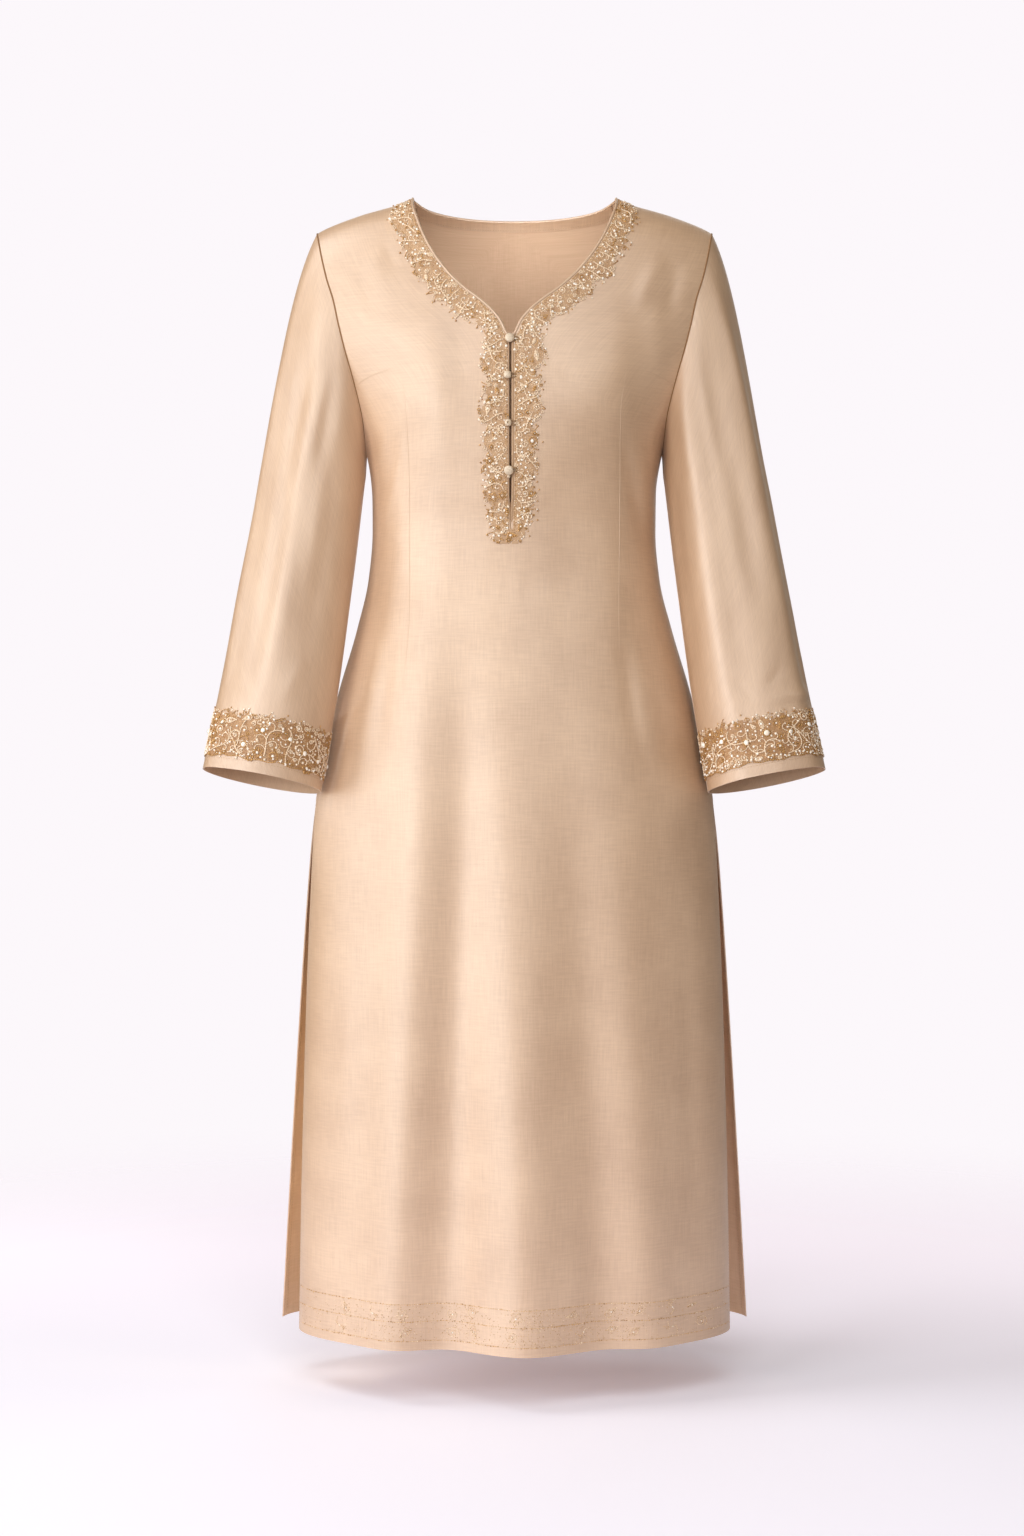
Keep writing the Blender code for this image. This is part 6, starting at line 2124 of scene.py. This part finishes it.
def solid_round(east, north, up, seat, out, across, down):
    """Joins rings of points into one closed solid whose first and last rings are single poles."""
    rings = seat + east[..., None] * across + north[..., None] * down + up[..., None] * out
    count = rings.shape[1]
    points = np.vstack([rings[:1, 0], rings[1:-1].reshape(-1, 3), rings[-1:, 0]])
    ring, ahead = np.arange(count), (np.arange(count) + 1) % count
    triangles = [np.column_stack([0 * ring, 1 + ring, 1 + ahead])]
    for row in range(rings.shape[0] - 3):
        a, b = 1 + row * count + ring, 1 + row * count + ahead
        triangles += [np.column_stack([a, a + count, b]), np.column_stack([b, a + count, b + count])]
    last = 1 + (rings.shape[0] - 3) * count
    triangles.append(np.column_stack([last + ring, 0 * ring + len(points) - 1, last + ahead]))
    triangles = np.vstack(triangles)
    volume = np.einsum("ij,ij->", points[triangles[:, 0]] - seat,
                       np.cross(points[triangles[:, 1]] - seat, points[triangles[:, 2]] - seat))
    if volume < 0.0:
        triangles = triangles[:, ::-1]
    flat = (points - seat) @ np.column_stack([across, down])
    return points, triangles, flat[triangles], np.zeros(len(triangles), dtype=int)


def dress_button(number, button):
    """One button on its shank. The last one has a small bead above it."""
    seat, out, across, down = button_frame(button["x"], button["drop"])
    button_shape = turned_shape(button["diameter"] / 2, button["square"], button["hole"], button["gathers"],
                                BUTTON_UNDER, BUTTON_TOP, BUTTON_FOOT)
    parts = [solid_round(*button_shape, seat, out, across, down)]
    if number == 4:
        bead_shape = turned_shape(0.0017, 2.0, 0.0, 5, 0.0012, 0.0036, BUTTON_FOOT)
        parts.append(solid_round(*bead_shape, seat - 0.0058 * down, out, across, down))
    piece = gather("silk_button_%d" % number, parts, [button_silk])
    return attach(piece, "button_%d" % number)


def dress_loop(number, button):
    """A thread loop from the slit's left edge round the shank and back, its two ends sewn down."""
    seat, out, across, down = button_frame(button["x"], button["drop"])
    bend = np.linspace(math.pi / 2, 3 * math.pi / 2, 12)
    turn = 0.0021
    right = np.concatenate([[0.0082, 0.0066, 0.0040], turn * np.cos(bend), [0.0040, 0.0066, 0.0082]])
    high = np.concatenate([[0.0010, 0.0015, 0.0020], turn * np.sin(bend), [-0.0020, -0.0015, -0.0010]])
    rise = 0.0016 + 0.0 * right
    rise[[0, -1]] = 0.0006
    path = resample(seat + rise[:, None] * out + right[:, None] * across + high[:, None] * down, 0.0005)
    piece = gather("thread_loop_%d" % number, [cord(path, out, 0.00048)], [loop_thread])
    return attach(piece, "button_loop_%d" % number)


for number, button in enumerate(entries(BUTTONS, BUTTON_COLUMNS), start=1):
    dress_button(number, button)
    dress_loop(number, button)

# %% [markdown]
# ## The cut sizes of the cloth
# Each panel and sleeve is a sheet that was cut flat and then worn. The sizes stated here are
# those of the cut that shows: the widest and the longest of each piece laid flat, with its
# flat area, because none of them is a plain rectangle.

# %% Sheets
def flat_cut(piece):
    """Width, length and area of the cloth laid flat, read from the piece's UV map in metres.

    The map covers both sides of the cloth, so the area is half of the summed triangles.
    """
    mesh = piece.data
    mesh.calc_loop_triangles()
    corners = np.empty(3 * len(mesh.loop_triangles), dtype=np.int32)
    mesh.loop_triangles.foreach_get("loops", corners)
    places = np.empty(2 * len(mesh.loops))
    mesh.uv_layers[0].data.foreach_get("uv", places)
    places = places.reshape(-1, 2)
    a, b, c = (places[corners[k::3]] for k in range(3))
    b, c = b - a, c - a
    size = places.max(axis=0) - places.min(axis=0)
    return [float(value) for value in size], float(np.abs(b[:, 0] * c[:, 1] - b[:, 1] * c[:, 0]).sum() / 4)


SEWN_ON = {
    front_cloth: ("neck_beading_left", "neck_beading_right", "neckline_piping", "slit_welts", "slit_turnings",
                  "hem_border_front", "body_seams", "edge_stitches"),
    back_cloth: ("neck_binding_strip", "neck_strip_stitches", "hem_border_back"),
    sleeves["left"]: ("cuff_beading_left", "sleeve_seams"),
    sleeves["right"]: ("cuff_beading_right",),
}
for cloth, sewn_on in SEWN_ON.items():
    cut, flat_area = flat_cut(cloth)
    print(cloth.name, "flat", [round(value, 3) for value in cut], "area", round(flat_area, 4))
